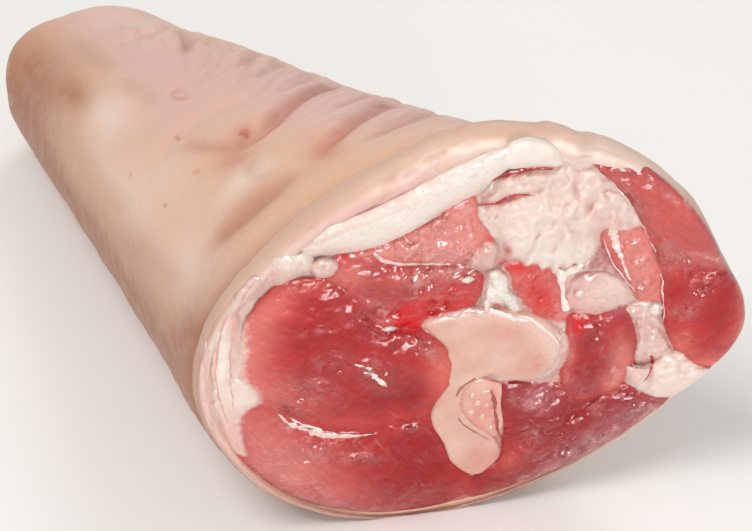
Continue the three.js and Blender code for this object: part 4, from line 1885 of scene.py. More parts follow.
    rim_fat = [
        fat(
            (-51.6, 12),
            (
                (-51, 27), (-49, 20), (-49.4, 10), (-50, 2), (-50.4, -4), (-53.6, -4), (-55.2, 6),
                (-54.4, 14), (-52.8, 22),
            ),
            0.8, edge=0.8, base=0.4, sink=-0.3, wave=0.3, lobe=9.0, rise=0.8,
            marks=dict(blush=(P(-50, 18, 1.6, 14, 0.6, 5),), white=(P(-52.6, 8, 1.5, 12, 0.6),)),
        ),
        fat(
            (-51.4, -14),
            ((-52, -3), (-50, -8), (-48.6, -16), (-47.4, -24), (-50.6, -22), (-53, -14), (-54, -6)), 0.6,
            edge=0.7, base=0.3, sink=-0.3, wave=0.2, lobe=8.0, rise=0.6, even=dict(blush=0.7),
        ),
        fat(
            (-46.4, 30),
            ((-43, 33.4), (-44.6, 30), (-47.4, 26.4), (-49.6, 24), (-50, 27), (-48, 31), (-45.4, 34)), 0.8,
            edge=0.7, base=0.6, sink=-0.3, wave=0.2, lobe=6.0, rise=0.6, even=dict(blush=0.4, wet=0.3),
        ),
        fat(
            (-57.2, 4),
            (
                (-55.4, 18), (-56, 10), (-56.2, 0), (-55.4, -10), (-57.4, -12), (-59.2, -4), (-59.4, 6),
                (-57.6, 16),
            ),
            0.5, edge=0.7, base=0.4, wave=0.3, lobe=9.0, rise=0.9, even=dict(blush=0.55),
        ),
    ]
    blobs = [
        blob(44, 9, 1.5, 2.3, 0.6), blob(26, 17, 1.0, 1.5, 0.4), blob(0.6, 25.4, 1.6, 1.2, 0.6),
        blob(-16, 12.6, 1.5, 0.9, 0.7),
    ]
    return [
        lump, lip, flap, column, block, patch, wedge, nodule, nodule_end, nub, tendon, gristle, *rim_fat,
        *blobs,
    ]


@dataclass
class Flesh:
    """All muscle and fat of the cut as one skin, with its back closed inside the barrel."""

    across: int = 300
    inset: float = 0.8
    lip_inset: float = 3.0
    corner: float = 1.3
    wall: float = 7.0
    wall_turn: float = -0.8
    shrink: float = 0.88
    bed: float = -0.7
    colour_softness: float = 0.5
    keys: tuple[Mark, ...] = (
        Mark.DARK, Mark.GLOW, Mark.SALMON, Mark.BLOOD, Mark.VIOLET, Mark.FLECK, Mark.WET, Mark.WHITE,
        Mark.BLUSH, Mark.RED, Mark.FAT,
    )
    bed_blush: tuple[Patch, ...] = (
        P(-30, 20, 30, 30, 0.4), P(22, 10, 20, 30, 0.5), P(30, -30, 20, 20, 0.9),
    )
    bed_red: tuple[Patch, ...] = (
        P(0, 24, 12, 8, 0.9), P(12, 28, 8, 3, 0.9), P(14, 16, 8, 9, 0.6), P(6, -34, 8, 12, 0.7),
        P(8, -48, 20, 5, 0.8, 8), P(20, -16, 8, 8, 0.6), P(-15, -49, 30, 3, 0.6),
        P(30, -42, 18, 6, 0.6, 30), P(-45, 34, 3, 4, 0.5), P(-54, 10, 1.2, 16, 0.7), P(0, 50, 6, 3, 0.6),
    )

    def __post_init__(self) -> None:
        """Gathers the zones."""
        self.zones = [*lean_zones(), *fat_zones()]

    def blend(self, y: Array, z: Array, softness: float = 0.25) -> tuple[Array, Array]:
        """Blends the zones.

        Args:
            y: Places across, as seen.
            z: Places up, as seen.
            softness: Difference in height over which one zone gives way to the next.

        Returns:
            The smooth height, and each zone's share of each place, with the bed of fat as the last.
        """
        heights = np.stack([*(zone.height(y, z) for zone in self.zones), np.full_like(y, self.bed)])
        shares = np.exp((heights - heights.max(0)) / softness)
        shares /= shares.sum(0)
        return (heights * shares).sum(0), shares

    def relief(self, y: Array, z: Array, shares: Array) -> tuple[Array, Array]:
        """Works out the fine relief and the creases between lobes.

        Args:
            y: Places across.
            z: Places up.
            shares: Each zone's share of each place.

        Returns:
            The relief in millimetres and the strength of the creases.
        """
        lean = sum(zone.lean * share for zone, share in zip(self.zones, shares))
        wet = sum(zone.weight(Mark.WET, y, z) * share for zone, share in zip(self.zones, shares))
        place = flat(y, z, 2)
        total = 0.4 * GRAIN.layers(place, 10, 2) + 0.22 * GRAIN.layers(place, 2.6, 2)
        total += 1.2 * wet * lean * GRAIN.layers(flat(y, z * 0.8, 9), 3.0, 2)
        crease = np.zeros_like(y)
        for zone, share in zip(self.zones, shares):
            if not zone.rise:
                continue
            on = share > 0.02
            curds = zone.lobes(y[on], z[on])
            total[on] += share[on] * zone.rise * (curds - 0.5)
            crease[on] += share[on] * (1 - step(curds, 0.0, 0.3))
        return total, crease

    def height(self, y: Array, z: Array) -> Array:
        """Gives the full height over the cut at places as seen."""
        smooth, shares = self.blend(y, z)
        return smooth + self.relief(y, z, shares)[0]

    def marks(self, y: Array, z: Array, shares: Array) -> dict[Mark, Array]:
        """Works out the marks at places as seen.

        Args:
            y: Places across.
            z: Places up.
            shares: Each zone's share of each place.

        Returns:
            The marks.
        """
        totals = {key: np.zeros_like(y) for key in (*self.keys, Mark.LEAN)}
        for zone, share in zip(self.zones, shares):
            on = share > 0.01
            for key in self.keys:
                totals[key][on] += share[on] * zone.weight(key, y[on], z[on])
            totals[Mark.LEAN] += share * zone.lean
            # painted glow at each zone's edge
            rim = step(zone.share(y[on], z[on])[0], 0.78, 1.0)
            totals[Mark.GLOW][on] += share[on] * zone.rim * rim
        totals[Mark.BLUSH] += shares[-1] * cover(self.bed_blush, y, z)
        totals[Mark.RED] += shares[-1] * cover(self.bed_red, y, z)
        totals[Mark.LEAN] *= 1 - totals.pop(Mark.FAT)
        return totals

    def fibres(self, y: Array, z: Array, shares: Array) -> Array:
        """Gives each place its own coordinates along and across the fibres of its muscle.

        Args:
            y: Places across.
            z: Places up.
            shares: Each zone's share of each place.

        Returns:
            The coordinates.
        """
        turns = np.radians([*(zone.fibre for zone in self.zones), 0.0])[shares.argmax(0)]
        along = y * np.cos(turns) + z * np.sin(turns)
        aside = z * np.cos(turns) - y * np.sin(turns)
        return np.stack([along * 0.2, aside, turns * 9], -1)

    def brim(self, degrees: Array) -> Array:
        """Gives the skin's height along its edge in directions in degrees.

        Args:
            degrees: Directions in degrees.

        Returns:
            The heights.
        """
        around = np.arange(0, 360, 2.0)
        y, z = polar(BARREL.rim(around) - self.inset, around)
        height = np.zeros_like(y)
        for _ in range(16):
            height = 0.6 * height + 0.4 * self.blend(y - CUT.slant[0] * height, z - CUT.slant[1] * height)[0]
        height = np.convolve(np.pad(height, 5, mode="wrap"), np.ones(11) / 11, mode="valid")
        return np.interp(degrees, around, height, period=360)

    def build(self, finish: Material) -> Piece:
        """Makes the skin.

        Args:
            finish: Its material.

        Returns:
            The finished piece.
        """
        piece = sheet("cut_muscle_and_fat", self.across, self.across)
        u, v = vertices(piece)[:, :2].T
        y, z = u * np.sqrt(1 - v**2 / 2), v * np.sqrt(1 - u**2 / 2)
        degrees = np.degrees(np.arctan2(z, y))
        bulge = bump(apart(degrees, 10), 34)
        under_lip = self.lip_inset * bump(apart(degrees, 100), 62)
        edge = BARREL.rim(degrees) - self.inset - under_lip - 0.2 * bulge
        corner = self.corner + 1.2 * bulge
        share = np.clip(np.hypot(y, z), 0, 1)
        y, z = polar(share * edge, degrees)
        lift = share * self.brim(degrees)
        seen = y - CUT.slant[0] * lift, z - CUT.slant[1] * lift
        smooth, shares = self.blend(*seen)
        change, crease = self.relief(*seen, shares)
        over = np.clip(1 - (1 - share) * edge / corner, 0, 1)
        height = smooth + change * (1 - over)
        y, z = CUT.raised(*seen, height)
        move_vertices(piece, CUT.spot(y, z, height - corner * (1 - np.sqrt(1 - over**2))))
        soft = self.blend(*seen, self.colour_softness)[1]
        # the creases between lobes go in as painted shade
        for key, values in {**self.marks(*seen, soft), Mark.CREASE: crease}.items():
            mark(piece, key, values)
        mark_fibres(piece, self.fibres(*seen, shares))
        self.close(piece)
        return hand_over(piece, finish)

    def close(self, piece: Piece) -> None:
        """Closes the skin's back with a wall and a flat end.

        Args:
            piece: The skin.
        """
        only(piece)
        back = Vector((-self.wall, self.wall_turn, 0.0)) * MM
        bpy.ops.object.mode_set(mode="EDIT")
        bpy.ops.mesh.select_all(action="DESELECT")
        bpy.ops.mesh.select_non_manifold()
        bpy.ops.mesh.extrude_region_move(TRANSFORM_OT_translate={"value": tuple(back)})
        bpy.ops.transform.resize(value=(self.shrink,) * 3)
        bpy.ops.mesh.edge_face_add()
        bpy.ops.object.mode_set(mode="OBJECT")
        tidy_faces(piece)


@dataclass
class Strand:
    """A sinew, membrane or vein that lies along the cut, as (across, up, half width) points."""

    name: str
    path: tuple[tuple[float, float, float], ...]
    lift: float = 0.05
    thickness: float = 0.45
    steps: int = 90
    segments: int = 12
    wander: float = 0.35
    uneven: float = 0.6
    blush: float = 0.2
    level: float | None = None

    def build(self, flesh: Flesh, finish: Material) -> Piece:
        """Makes the strand.

        Args:
            flesh: What it lies on.
            finish: Its material.

        Returns:
            The finished piece.
        """
        line = smooth_path(self.path, self.steps)
        run = np.linspace(0, 1, self.steps)
        length = np.linalg.norm(np.diff(line[:, :2], axis=0), axis=1).sum()
        place = flat(run * length, np.full(self.steps, self.path[0][0] * 3.1 + self.path[0][1]), 0.5)
        y = line[:, 0] + self.wander * GRAIN.layers(place, 4, 2)
        z = line[:, 1] + self.wander * GRAIN.layers(place + 40, 4, 2)
        width = line[:, 2] * (1 + self.uneven * GRAIN.layers(place + 80, 2.2, 3))
        width = np.maximum(width, 0.05) * np.sqrt(np.clip(1 - np.abs(2 * run - 1) ** 14, 0.02, 1))
        height = flesh.height(y, z) if self.level is None else np.full(self.steps, self.level)
        height = np.convolve(np.pad(height, 2, mode="edge"), np.ones(5) / 5, mode="valid") + self.lift
        y, z = CUT.raised(y, z, height)
        away = np.stack([-np.gradient(z), np.gradient(y)], 1)
        away /= np.linalg.norm(away, axis=1, keepdims=True)
        turn = np.arange(self.segments) * 2 * math.pi / self.segments
        side = width[:, None] * np.cos(turn)
        rise = self.thickness * width[:, None] * np.sin(turn)
        rows_y, rows_z = y[:, None] + away[:, :1] * side, z[:, None] + away[:, 1:] * side
        rows = CUT.spot(rows_y, rows_z, height[:, None] + rise)
        tips = CUT.spot(y[[0, -1]], z[[0, -1]], height[[0, -1]])
        piece = closed_skin(self.name, rows, tips, {Mark.BLUSH: np.full(rows.shape[:2], self.blush)})
        return hand_over(piece, finish)


def red_strands() -> list[Strand]:
    """Lists the blood-red lines and slits.

    Returns:
        The strands.
    """
    return [
        Strand(
            "slit", ((4.4, 53.9, 0.3), (6.6, 55.2, 0.8), (10, 56, 0.9), (14, 56.3, 0.6), (18, 55.5, 0.2)),
            0.0, 0.4,
        ),
        Strand(
            "lump_line", ((2, 47.4, 0.15), (6, 47.6, 0.3), (10, 49.2, 0.35), (14, 48.6, 0.12)), 0.0, 0.4,
            uneven=1.2,
        ),
        Strand(
            "block_line", ((44.4, -6, 0.5), (44.8, -8.4, 0.4), (44.4, -12, 0.2), (43, -15, 0.1)), 0.0, 0.4,
        ),
    ]


def bone_strands() -> list[Strand]:
    """Lists the brown-red lines in the bone's groove and round its marrow.

    Returns:
        The strands.
    """
    return [
        Strand(
            "groove_arch",
            (
                (-0.5, -15.6, 0.15), (-0.3, -12, 0.28), (1, -9.2, 0.34), (3.6, -7.1, 0.34), (6, -7, 0.3),
                (8.6, -8.5, 0.34), (11.2, -9.9, 0.15),
            ),
            wander=0.15, blush=0.3, level=1.25,
        ),
        Strand(
            "groove_side", ((-0.4, -16.4, 0.12), (0.9, -20.6, 0.24), (3.6, -24.2, 0.24), (8, -28.6, 0.12)),
            wander=0.15, blush=0.2, level=1.25,
        ),
        Strand(
            "marrow_line",
            ((7.6, -11.4, 0.15), (8.7, -15, 0.36), (9.2, -20, 0.4), (10, -25, 0.32), (11, -30, 0.15)),
            wander=0.3, uneven=1.0, blush=1.0, level=0.45,
        ),
    ]


def white_strands() -> list[Strand]:
    """Lists the wet white sinews and membranes, and three white blobs that are painted glints.

    Returns:
        The strands.
    """
    return [
        Strand(
            "near_membrane",
            (
                (-41, -11, 0.15), (-38, -14.4, 0.7), (-34, -17.4, 1.0), (-30, -19.8, 0.9),
                (-25, -21.2, 0.6), (-19, -21.8, 0.15),
            ),
            0.0, 0.3, steps=140, uneven=1.5, blush=0.5,
        ),
        Strand(
            "near_membrane_edge",
            ((-39, -12, 0.1), (-36, -15, 0.3), (-32, -17.6, 0.35), (-28, -19.6, 0.25), (-22, -20.6, 0.1)),
            0.0, 0.5, steps=140, wander=0.8, uneven=2.0, blush=0.15,
        ),
        # three short white blobs that stand in for a cluster of glints: painted highlights
        Strand(
            "near_painted_glint_1", ((-23.4, 2.6, 0.2), (-21.8, 1.8, 0.6), (-20, 0.6, 0.4)), 0.0, 0.4, steps=50,
            uneven=2.0, blush=0.3,
        ),
        Strand(
            "near_painted_glint_2", ((-21.6, -0.4, 0.2), (-19.4, -1.4, 0.8), (-18, -3.4, 0.4)), 0.0, 0.4, steps=50,
            uneven=2.0, blush=0.2,
        ),
        Strand(
            "near_painted_glint_3", ((-18.6, -2.6, 0.2), (-17.4, -4.4, 0.7), (-16.2, -5.8, 0.2)), 0.0, 0.4,
            steps=50, uneven=2.0, blush=0.3,
        ),
        Strand(
            "upper_seam",
            ((-20, 37, 0.3), (-17.6, 34.4, 0.7), (-14, 32.6, 0.6), (-8, 31.6, 0.5), (-2, 30.6, 0.2)),
            blush=0.35,
        ),
        Strand(
            "far_edge",
            ((30, 51, 0.1), (33.8, 45, 0.3), (36.8, 39.2, 0.25), (39.8, 33.4, 0.18), (42.2, 27, 0.1)),
            uneven=1.2, steps=140, blush=0.4,
        ),
        Strand(
            "far_edge_foot", ((43.8, 22, 0.1), (44.8, 17, 0.2), (45.4, 12, 0.2), (46.4, 4, 0.1)),
            uneven=1.3, steps=110, blush=0.4,
        ),
        Strand(
            "inner_tendon",
            (
                (31.2, 36.6, 0.3), (32.4, 33.4, 1.15), (33.6, 30, 0.95), (34.8, 26, 0.5), (36.2, 22, 0.35),
                (37.4, 19, 0.15),
            ),
            uneven=1.0, blush=0.25,
        ),
        Strand(
            "inner_line",
            (
                (30, 34, 0.12), (31.4, 29.4, 0.22), (33.6, 24.6, 0.25), (36.2, 19.8, 0.22),
                (38.6, 15.6, 0.12),
            ),
            blush=0.3,
        ),
        Strand(
            "tendon_band",
            ((4.8, 18.4, 0.4), (6, 15.4, 0.8), (9.4, 12.8, 0.8), (13, 10.9, 0.6), (15.4, 10, 0.25)), 0.2,
            blush=0.05,
        ),
        Strand(
            "rim_line_inner",
            ((-44.6, 33.4, 0.1), (-48.4, 26, 0.16), (-50.6, 14, 0.2), (-51, 2, 0.16), (-50.4, -8, 0.1)),
            uneven=1.4, blush=0.9,
        ),
        Strand(
            "rim_line", ((-47, 32, 0.1), (-51, 24, 0.18), (-53.6, 12, 0.2), (-54, 0, 0.2), (-52, -12, 0.1)),
            uneven=1.4, blush=1.0,
        ),
        Strand(
            "fork_stem",
            (
                (20.6, 25.4, 0.8), (21.8, 23, 1.2), (22.2, 20, 0.6), (22.6, 16.4, 0.6), (23.6, 13, 1.1),
                (23.9, 11.6, 0.5),
            ),
            0.35, 0.6, blush=0.0, uneven=0.25,
        ),
        Strand(
            "fork_arm", ((21.8, 22.8, 0.5), (24, 24.6, 1.2), (26, 25.4, 1.1), (27.6, 27, 0.3)), 0.4, 0.5,
            blush=0.05, uneven=0.25,
        ),
        Strand(
            "cartilage_line",
            ((12.4, 12.2, 0.15), (15.4, 10.6, 0.3), (18.6, 7.4, 0.5), (21, 3.6, 0.3), (22.6, 0, 0.12)),
            0.35, blush=0.0,
        ),
    ]


@dataclass
class ShankEnd:
    """The small cut through skin, sinews and muscle at the thin end."""

    place: float = 3.7
    share: float = 0.6
    proud: float = 0.5
    rings: int = 50
    around: int = 180
    bones: tuple[Patch, ...] = (P(-0.5, 1.6, 9.5, 9.5), P(1.4, -8.4, 4, 3.6))
    sinews: tuple[Patch, ...] = (
        P(-8.4, 5.4, 2.4, 1.8, 1.0, 40), P(7.6, 6.6, 2.2, 1.6, 1.0, -40), P(-7.4, -6, 2, 2.6, 1.0, 20),
        P(8, -5, 2.2, 1.8),
    )
    muscles: tuple[Patch, ...] = (
        P(0, 10.6, 4.4, 1.8), P(-10, -0.6, 1.8, 4), P(10, 1, 1.6, 3.6), P(-2.4, -11, 3.4, 1.6),
    )

    def build(self, finish: Material) -> Piece:
        """Makes the cut's skin.

        Args:
            finish: Its material.

        Returns:
            The finished piece.
        """
        front = np.linspace(0, 1, self.rings + 1)[1:]
        turns = np.radians(np.arange(self.around) * 360 / self.around)
        reach, turn = np.meshgrid(np.r_[front, 0.97, 0.6], turns, indexing="ij")
        radius = reach * self.share * BARREL.radius(np.full_like(turn, self.place), np.degrees(turn))
        y, z = radius * np.cos(turn), radius * np.sin(turn)
        skin = step(reach, 0.86, 0.96)
        sinew, bone = cover(self.sinews, y, z), cover(self.bones, y, z)
        muscle = cover(self.muscles, y, z)
        rise = self.proud + 0.5 * muscle + 0.4 * sinew + 0.5 * GRAIN.layers(flat(y, z, 5), 2.6, 3)
        rise = rise * np.sqrt(np.clip(1 - reach**12, 0, 1))
        rise[self.rings :] = -3.0
        points = BARREL.spot(self.place, y, z, -rise)
        tips = BARREL.spot(self.place, np.zeros(2), np.zeros(2), np.array([-self.proud, 3.0]))
        lean = np.clip(1 - skin - step(sinew, 0.3, 0.6) - 0.8 * bone + muscle, 0, 1)
        marks = {
            Mark.LEAN: lean, Mark.SALMON: 0.4 + 0 * lean, Mark.DARK: 0.4 * lean, Mark.FLECK: 0.5 + 0 * lean,
            Mark.WHITE: sinew, Mark.BLUSH: 0.5 * (1 - sinew), Mark.WET: 0.6 + 0 * lean,
            Mark.RED: 0.5 * bump(bone - 0.4, 0.3),
        }
        piece = closed_skin("thin_end_cut", points, tips, marks)
        mark_fibres(piece, vertices(piece) / MM)
        return hand_over(piece, finish)


@dataclass
class Pillow:
    """A small rounded piece that is set into the cut, such as a bone's end or a bead of marrow."""

    name: str
    centre: Place
    outline: tuple[Place, ...]
    dome: float
    edge: float = 0.6
    base: float = 0.0
    sink: float = 2.0
    depth: float = 5.0
    roundness: float = 26.0
    waviness: float = 0.15
    rough: float = 0.3
    segments: int = 168
    rings: int = 64
    marks: dict[Mark, tuple[Patch, ...]] = field(default_factory=dict)

    def mesh(self) -> Piece:
        """Makes the piece's closed mesh.

        Returns:
            The mesh.
        """
        edge = smooth_path(self.outline, self.segments, closed=True)
        wave = GRAIN.layers(flat(edge[:, 0], edge[:, 1], self.base), 4.5, 3) * self.waviness
        off = edge - np.array(self.centre)
        off *= (1 + wave / np.linalg.norm(off, axis=1))[:, None]
        share = 1 - (1 - np.linspace(0, 1, self.rings + 1)[1:]) ** 1.5
        below = np.array([0.985, 0.96, 0.9, 0.5, 0.1])
        y = self.centre[0] + np.r_[share, below][:, None] * off[:, 0]
        z = self.centre[1] + np.r_[share, below][:, None] * off[:, 1]
        round_off = np.sqrt(1 - share**self.roundness)
        height = np.empty_like(y)
        plain = self.base - self.sink + (self.edge + self.sink) * round_off + self.dome * (1 - share**2)
        grain = self.rough * 0.5 * GRAIN.layers(flat(y[: self.rings], z[: self.rings], 3), 7, 4)
        height[: self.rings] = plain[:, None] + grain * step(1 - share, 0, 0.1)[:, None]
        height[self.rings :] = (self.base - self.sink - np.array([0.3, 0.7, 1, 1, 1]) * self.depth)[:, None]
        true_y, true_z = CUT.raised(y, z, np.full_like(height, self.base + self.edge))
        middle = CUT.raised(*self.centre, self.base + self.edge)
        tips = CUT.spot(middle[0], middle[1], np.array([height[0].mean(), height[-1, 0]]))
        piece = closed_skin(self.name, CUT.spot(true_y, true_z, height), tips)
        self.paint(piece)
        return piece

    def paint(self, piece: Piece) -> None:
        """Marks the piece's patches on its vertices.

        Args:
            piece: The piece.
        """
        y, z, _ = CUT.read(vertices(piece))
        for key, patches in self.marks.items():
            mark(piece, key, cover(patches, y, z))


# ---- The bones ----


@dataclass
class Bones:
    """The shank bone and the small bone, from one cut to the other."""

    recess: float = 3.5
    proud: float = 0.8
    around: int = 72
    steps: int = 60
    outline_begins: float = 120.0
    head: tuple[Place, ...] = (
        (23.6, 1), (19.5, 8.4), (12, 12.6), (3, 15), (-8.5, 12.6), (-4, 4.5), (-1.6, -3), (-1.4, -9),
        (1, -7.4), (5, -6.1), (9, -7.6), (12, -9.6), (18, -10.4), (22.4, -6),
    )
    leg: tuple[Place, ...] = (
        (3, 3), (-2.4, 1), (-1.8, -6), (-5.2, -14), (-5.8, -21), (-2.6, -29), (0, -37), (6, -42),
        (11.4, -36), (9, -28), (3.6, -22), (0.6, -14), (2, -8), (6, -4),
    )

    def column(self, name: str, sizes: Sequence[Sequence[float]], spread: float) -> Piece:
        """Makes a bone's shaft.

        Args:
            name: Name of the shaft.
            sizes: (distance, across, up, half width, half height) from the thin end on.
            spread: How far the shaft stands out of the thin end.

        Returns:
            The shaft's mesh.
        """
        table = np.array(sizes, float)
        x = np.linspace(table[0, 0], table[-1, 0], self.steps)
        y, z, wide, high = (through(table[:, 0], table[:, k], x) for k in (1, 2, 3, 4))
        turn = np.arange(self.around) * 2 * math.pi / self.around
        cap = np.array([0.3, 0.62, 0.86, 0.96])
        x = np.r_[np.full(4, x[0]), x]
        y, z, wide, high = (np.r_[np.full(4, v[0]), v] for v in (y, z, wide, high))
        share = np.r_[cap, np.ones(self.steps)]
        shoulder = np.linspace(-spread + 0.25, 0, 3)
        forward = np.r_[-spread + 0.5 * (cap < 0.8), shoulder, np.zeros(self.steps - 3)]
        rows = BARREL.spot(
            x[:, None], y[:, None] + (wide * share)[:, None] * np.cos(turn),
            z[:, None] + (high * share)[:, None] * np.sin(turn), forward[:, None],
        )
        tips = BARREL.spot(x[[0, -1]], y[[0, -1]], z[[0, -1]], np.array([-spread + 0.1, 0]))
        marrow = np.repeat(1 - step(share, 0.55, 0.8), self.around).reshape(-1, self.around)
        marks = {Mark.BLUSH: marrow * 0.5, Mark.RED: marrow * 0.8, Mark.WHITE: 1 - marrow, Mark.WET: marrow}
        return closed_skin(name, rows, tips, marks)

    def shank(self, finish: Material) -> Piece:
        """Makes the shank bone, with its sawn head and its hooked lower part.

        Args:
            finish: The bone's material.

        Returns:
            The finished piece.
        """
        plain = {"dome": 0.3, "edge": 0.7, "base": 0.4, "depth": 9}
        head = Pillow("bone_head", (9, 3), self.head, **plain).mesh()
        leg = Pillow("bone_leg", (0.5, -20), self.leg, **plain).mesh()
        between = ((-3, 2), (2, 6), (8, 2), (8, -6), (3, -8), (-2, -9))
        neck = Pillow("bone_neck", (2, -4), between, **plain).mesh()
        sawn = weld([head, leg, neck], "sawn_bone", 0.42, 3)
        y, z, _ = CUT.read(vertices(sawn))
        pale = (
            P(20, 2, 3, 10, 1.0, 25), P(12, 11, 8, 2, 0.6, -25), P(-3, -24, 3, 9, 0.3, 20),
            P(2, -7, 3, 1.4, 0.6, 30),
        )
        mark(sawn, Mark.WHITE, cover(pale, y, z))
        mark(
            sawn, Mark.BLUSH,
            cover((P(11, 7, 5, 4, 0.3), P(6, -35, 4, 7, 0.5), P(16, 0, 4, 6, 0.25)), y, z),
        )
        mark(
            sawn, Mark.RED,
            cover((P(18, -4, 1.6, 2.4, 0.9), P(10.6, -36, 1.2, 4), P(-1.5, -36, 1, 4, 0.6, 30)), y, z),
        )
        mark(sawn, Mark.WET, cover((P(20, 2, 5, 9, 0.9, 20),), y, z))
        hand_over(sawn, finish)
        sizes = (
            (3.5, -0.5, 1.6, 7.4, 7.4), (96, 1.5, -1, 10.5, 10.5), (150, 4, -2, 10.5, 10.5),
            (182, 8, -1, 12, 10),
        )
        return hand_over(self.column("shank_shaft", sizes, self.proud), finish, "shank_bone")

    def small(self, finish: Material, marrow: Material) -> Piece:
        """Makes the small bone in the hollow of the shank bone.

        Args:
            finish: The small bone's material.
            marrow: The material of the marrow in it.

        Returns:
            The small bone.
        """
        ring = Pillow(
            "small_bone_end", (5.4, -17),
            (
                (1.4, -20.6), (-0.2, -15.6), (0.4, -11), (2.6, -8), (5.2, -7.1), (8.4, -8.6), (10.6, -11),
                (10.6, -17), (11.4, -25), (9.4, -29), (5, -25.4),
            ),
            0.2, edge=0.7, base=-0.4, depth=8, rough=0.5, segments=150, rings=56,
            marks={
                Mark.RED: (
                    P(8.8, -19, 0.8, 9, 1.0, 5), P(0.8, -16, 0.6, 5, 0.6), P(4, -24, 0.7, 4, 0.6, 48),
                ),
                Mark.BLUSH: (P(5, -19, 4, 8, 0.6),),
                Mark.WHITE: (P(5, -9.5, 4, 1.6, 0.8), P(3, -17, 1.6, 2.6, 0.7)),
            },
        )
        hand_over(ring.mesh(), finish)
        sizes = (
            (3.5, 1.4, -8.4, 2.4, 2), (96, 3.5, -12.6, 3.4, 3.6), (150, 4.6, -15.4, 4.4, 7),
            (182, 5.6, -17, 4.4, 8),
        )
        shaft = hand_over(
            self.column("small_bone_shaft", sizes, self.proud), finish, "small_bone",
        )
        beads = (
            (3.6, -18.6, 1.7, 1.3), (6.2, -20.6, 1.2, 2.2), (4.8, -15.6, 1.5, 1.6), (8.2, -24.6, 0.9, 1.2),
            (6.6, -12, 2.2, 1.0), (3.4, -13, 1.1, 1.9), (6.9, -16.6, 1.0, 1.4),
        )
        for k, (y, z, wide, high) in enumerate(beads):
            bead = Pillow(
                f"marrow_{k + 1}", (y, z), oval(y, z, wide, high, 45), 0.3, edge=0.2, base=0.25, depth=1.5,
                roundness=3, waviness=0.6, rough=0.5, segments=48, rings=16,
                marks={Mark.BLUSH: (P(y, z - 1, 3, 3, 0.5),)},
            )
            hand_over(bead.mesh(), marrow)
        return shaft


# ---- The scene round the hock ----


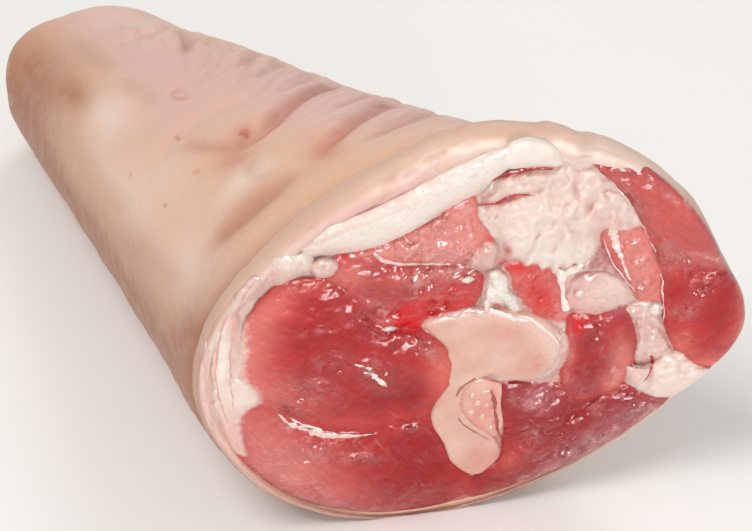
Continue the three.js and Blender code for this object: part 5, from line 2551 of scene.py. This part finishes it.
@dataclass
class Studio:
    """The ground, the lights and the camera."""

    ground_side: float = 8.0
    lens: float = 127.4
    sensor: float = 36.0
    target: tuple[float, float, float] = (19.81, 11.55, 27.53)
    eye: tuple[float, float, float] = (452.84, -237.85, 449.53)
    lit: tuple[float, float, float] = (0.02, 0, 0.05)
    clip: Place = (0.05, 20.0)
    sky: float = 0.46

    def ground(self, finish: Material) -> None:
        """Lays the ground.

        Args:
            finish: Its material.
        """
        bpy.ops.object.select_all(action="DESELECT")
        bpy.ops.mesh.primitive_plane_add(size=self.ground_side, location=(0, 0, 0))
        floor = bpy.context.object
        floor.name = "ground"
        floor.data.materials.append(finish)

    def light(
        self, name: str, place: Sequence[float], side: float, power: float, tint: Tone, shine: bool = False
    ) -> None:
        """Hangs a square soft light that faces the hock.

        Args:
            name: Its name.
            place: Where it hangs, in metres.
            side: Its side in metres.
            power: Its power in watts.
            tint: Its colour, from 0 to 1.
            shine: Whether it only shows as shine on wet and waxy surfaces.
        """
        lamp = bpy.data.lights.new(name, "AREA")
        lamp.shape, lamp.size, lamp.energy, lamp.color = "SQUARE", side, power, tint
        holder = bpy.data.objects.new(name, lamp)
        bpy.context.collection.objects.link(holder)
        holder.location = place
        holder.visible_camera = False
        holder.visible_diffuse = not shine
        aim = Vector(self.lit) - Vector(place)
        holder.rotation_mode = "QUATERNION"
        holder.rotation_quaternion = aim.to_track_quat("-Z", "Y")

    def lights(self) -> None:
        """Lights the scene softly from above, with fill from the front."""
        world = bpy.data.worlds.new("soft_room")
        bpy.context.scene.world = world
        world.use_nodes = True
        backing = world.node_tree.nodes["Background"]
        backing.inputs[0].default_value = (1.0, 1.0, 1.0, 1.0)
        backing.inputs[1].default_value = self.sky
        self.light("key", (0.22, -0.55, 1.05), 0.45, 6.8, (1.0, 0.985, 0.96))
        self.light("front", (1.15, -0.2, 0.2), 0.27, 4.0, (1.0, 0.99, 0.98))
        self.light("back", (-0.5, 0.5, 0.8), 0.4, 2.2, (1.0, 0.98, 0.97))
        self.light("shine", (1.1, -0.25, 0.42), 0.8, 38.0, (1.0, 1.0, 1.0), shine=True)

    def camera(self) -> None:
        """Sets the camera."""
        lens = bpy.data.cameras.new("camera")
        lens.lens, lens.sensor_width = self.lens, self.sensor
        lens.clip_start, lens.clip_end = self.clip
        eye = bpy.data.objects.new("camera", lens)
        bpy.context.collection.objects.link(eye)
        eye.location = Vector(self.eye) * MM
        eye.rotation_mode = "QUATERNION"
        eye.rotation_quaternion = (Vector(self.target) - Vector(self.eye)).to_track_quat("-Z", "Y")
        bpy.context.scene.camera = eye
        bpy.context.scene.view_settings.view_transform = "Standard"

    def build(self) -> None:
        """Sets up the whole studio."""
        self.camera()
        self.ground(GroundFinish().material())
        self.lights()


def build_cut() -> None:
    """Builds the muscle, fat and sinews of the big cut."""
    flesh = Flesh()
    finish = FleshFinish().material()
    flesh.build(finish)
    ShankEnd().build(finish)
    white = SinewFinish("wet_sinew").material()
    for strand in white_strands():
        strand.build(flesh, white)
    groove = SinewFinish("groove_line", (186, 118, 104), (154, 52, 50)).material()
    for strand in bone_strands():
        strand.build(flesh, groove)
    red = SinewFinish("blood_line", (184, 70, 68), (146, 30, 34)).material()
    for strand in red_strands():
        strand.build(flesh, red)


def build_hock() -> None:
    """Builds the hock and its studio."""
    Studio().build()
    rind = RindFinish().material()
    Rind().build(rind)
    edge = RindFinish(
        "rolled_edge", (220, 192, 178), (218, 176, 166), (162, 110, 94), (230, 210, 196), (208, 172, 152),
        lined=0.5,
    )
    Rim().build(edge.material())
    build_cut()
    bones = Bones()
    bones.shank(BoneFinish("sawn_bone").material())
    small_bone = BoneFinish("small_bone", (226, 170, 154), (236, 196, 178), (200, 96, 92)).material()
    bones.small(small_bone, MarrowFinish().material())


if __name__ == "__main__":
    logging.basicConfig(level=logging.INFO, format="%(name)s: %(message)s")
    build_hock()
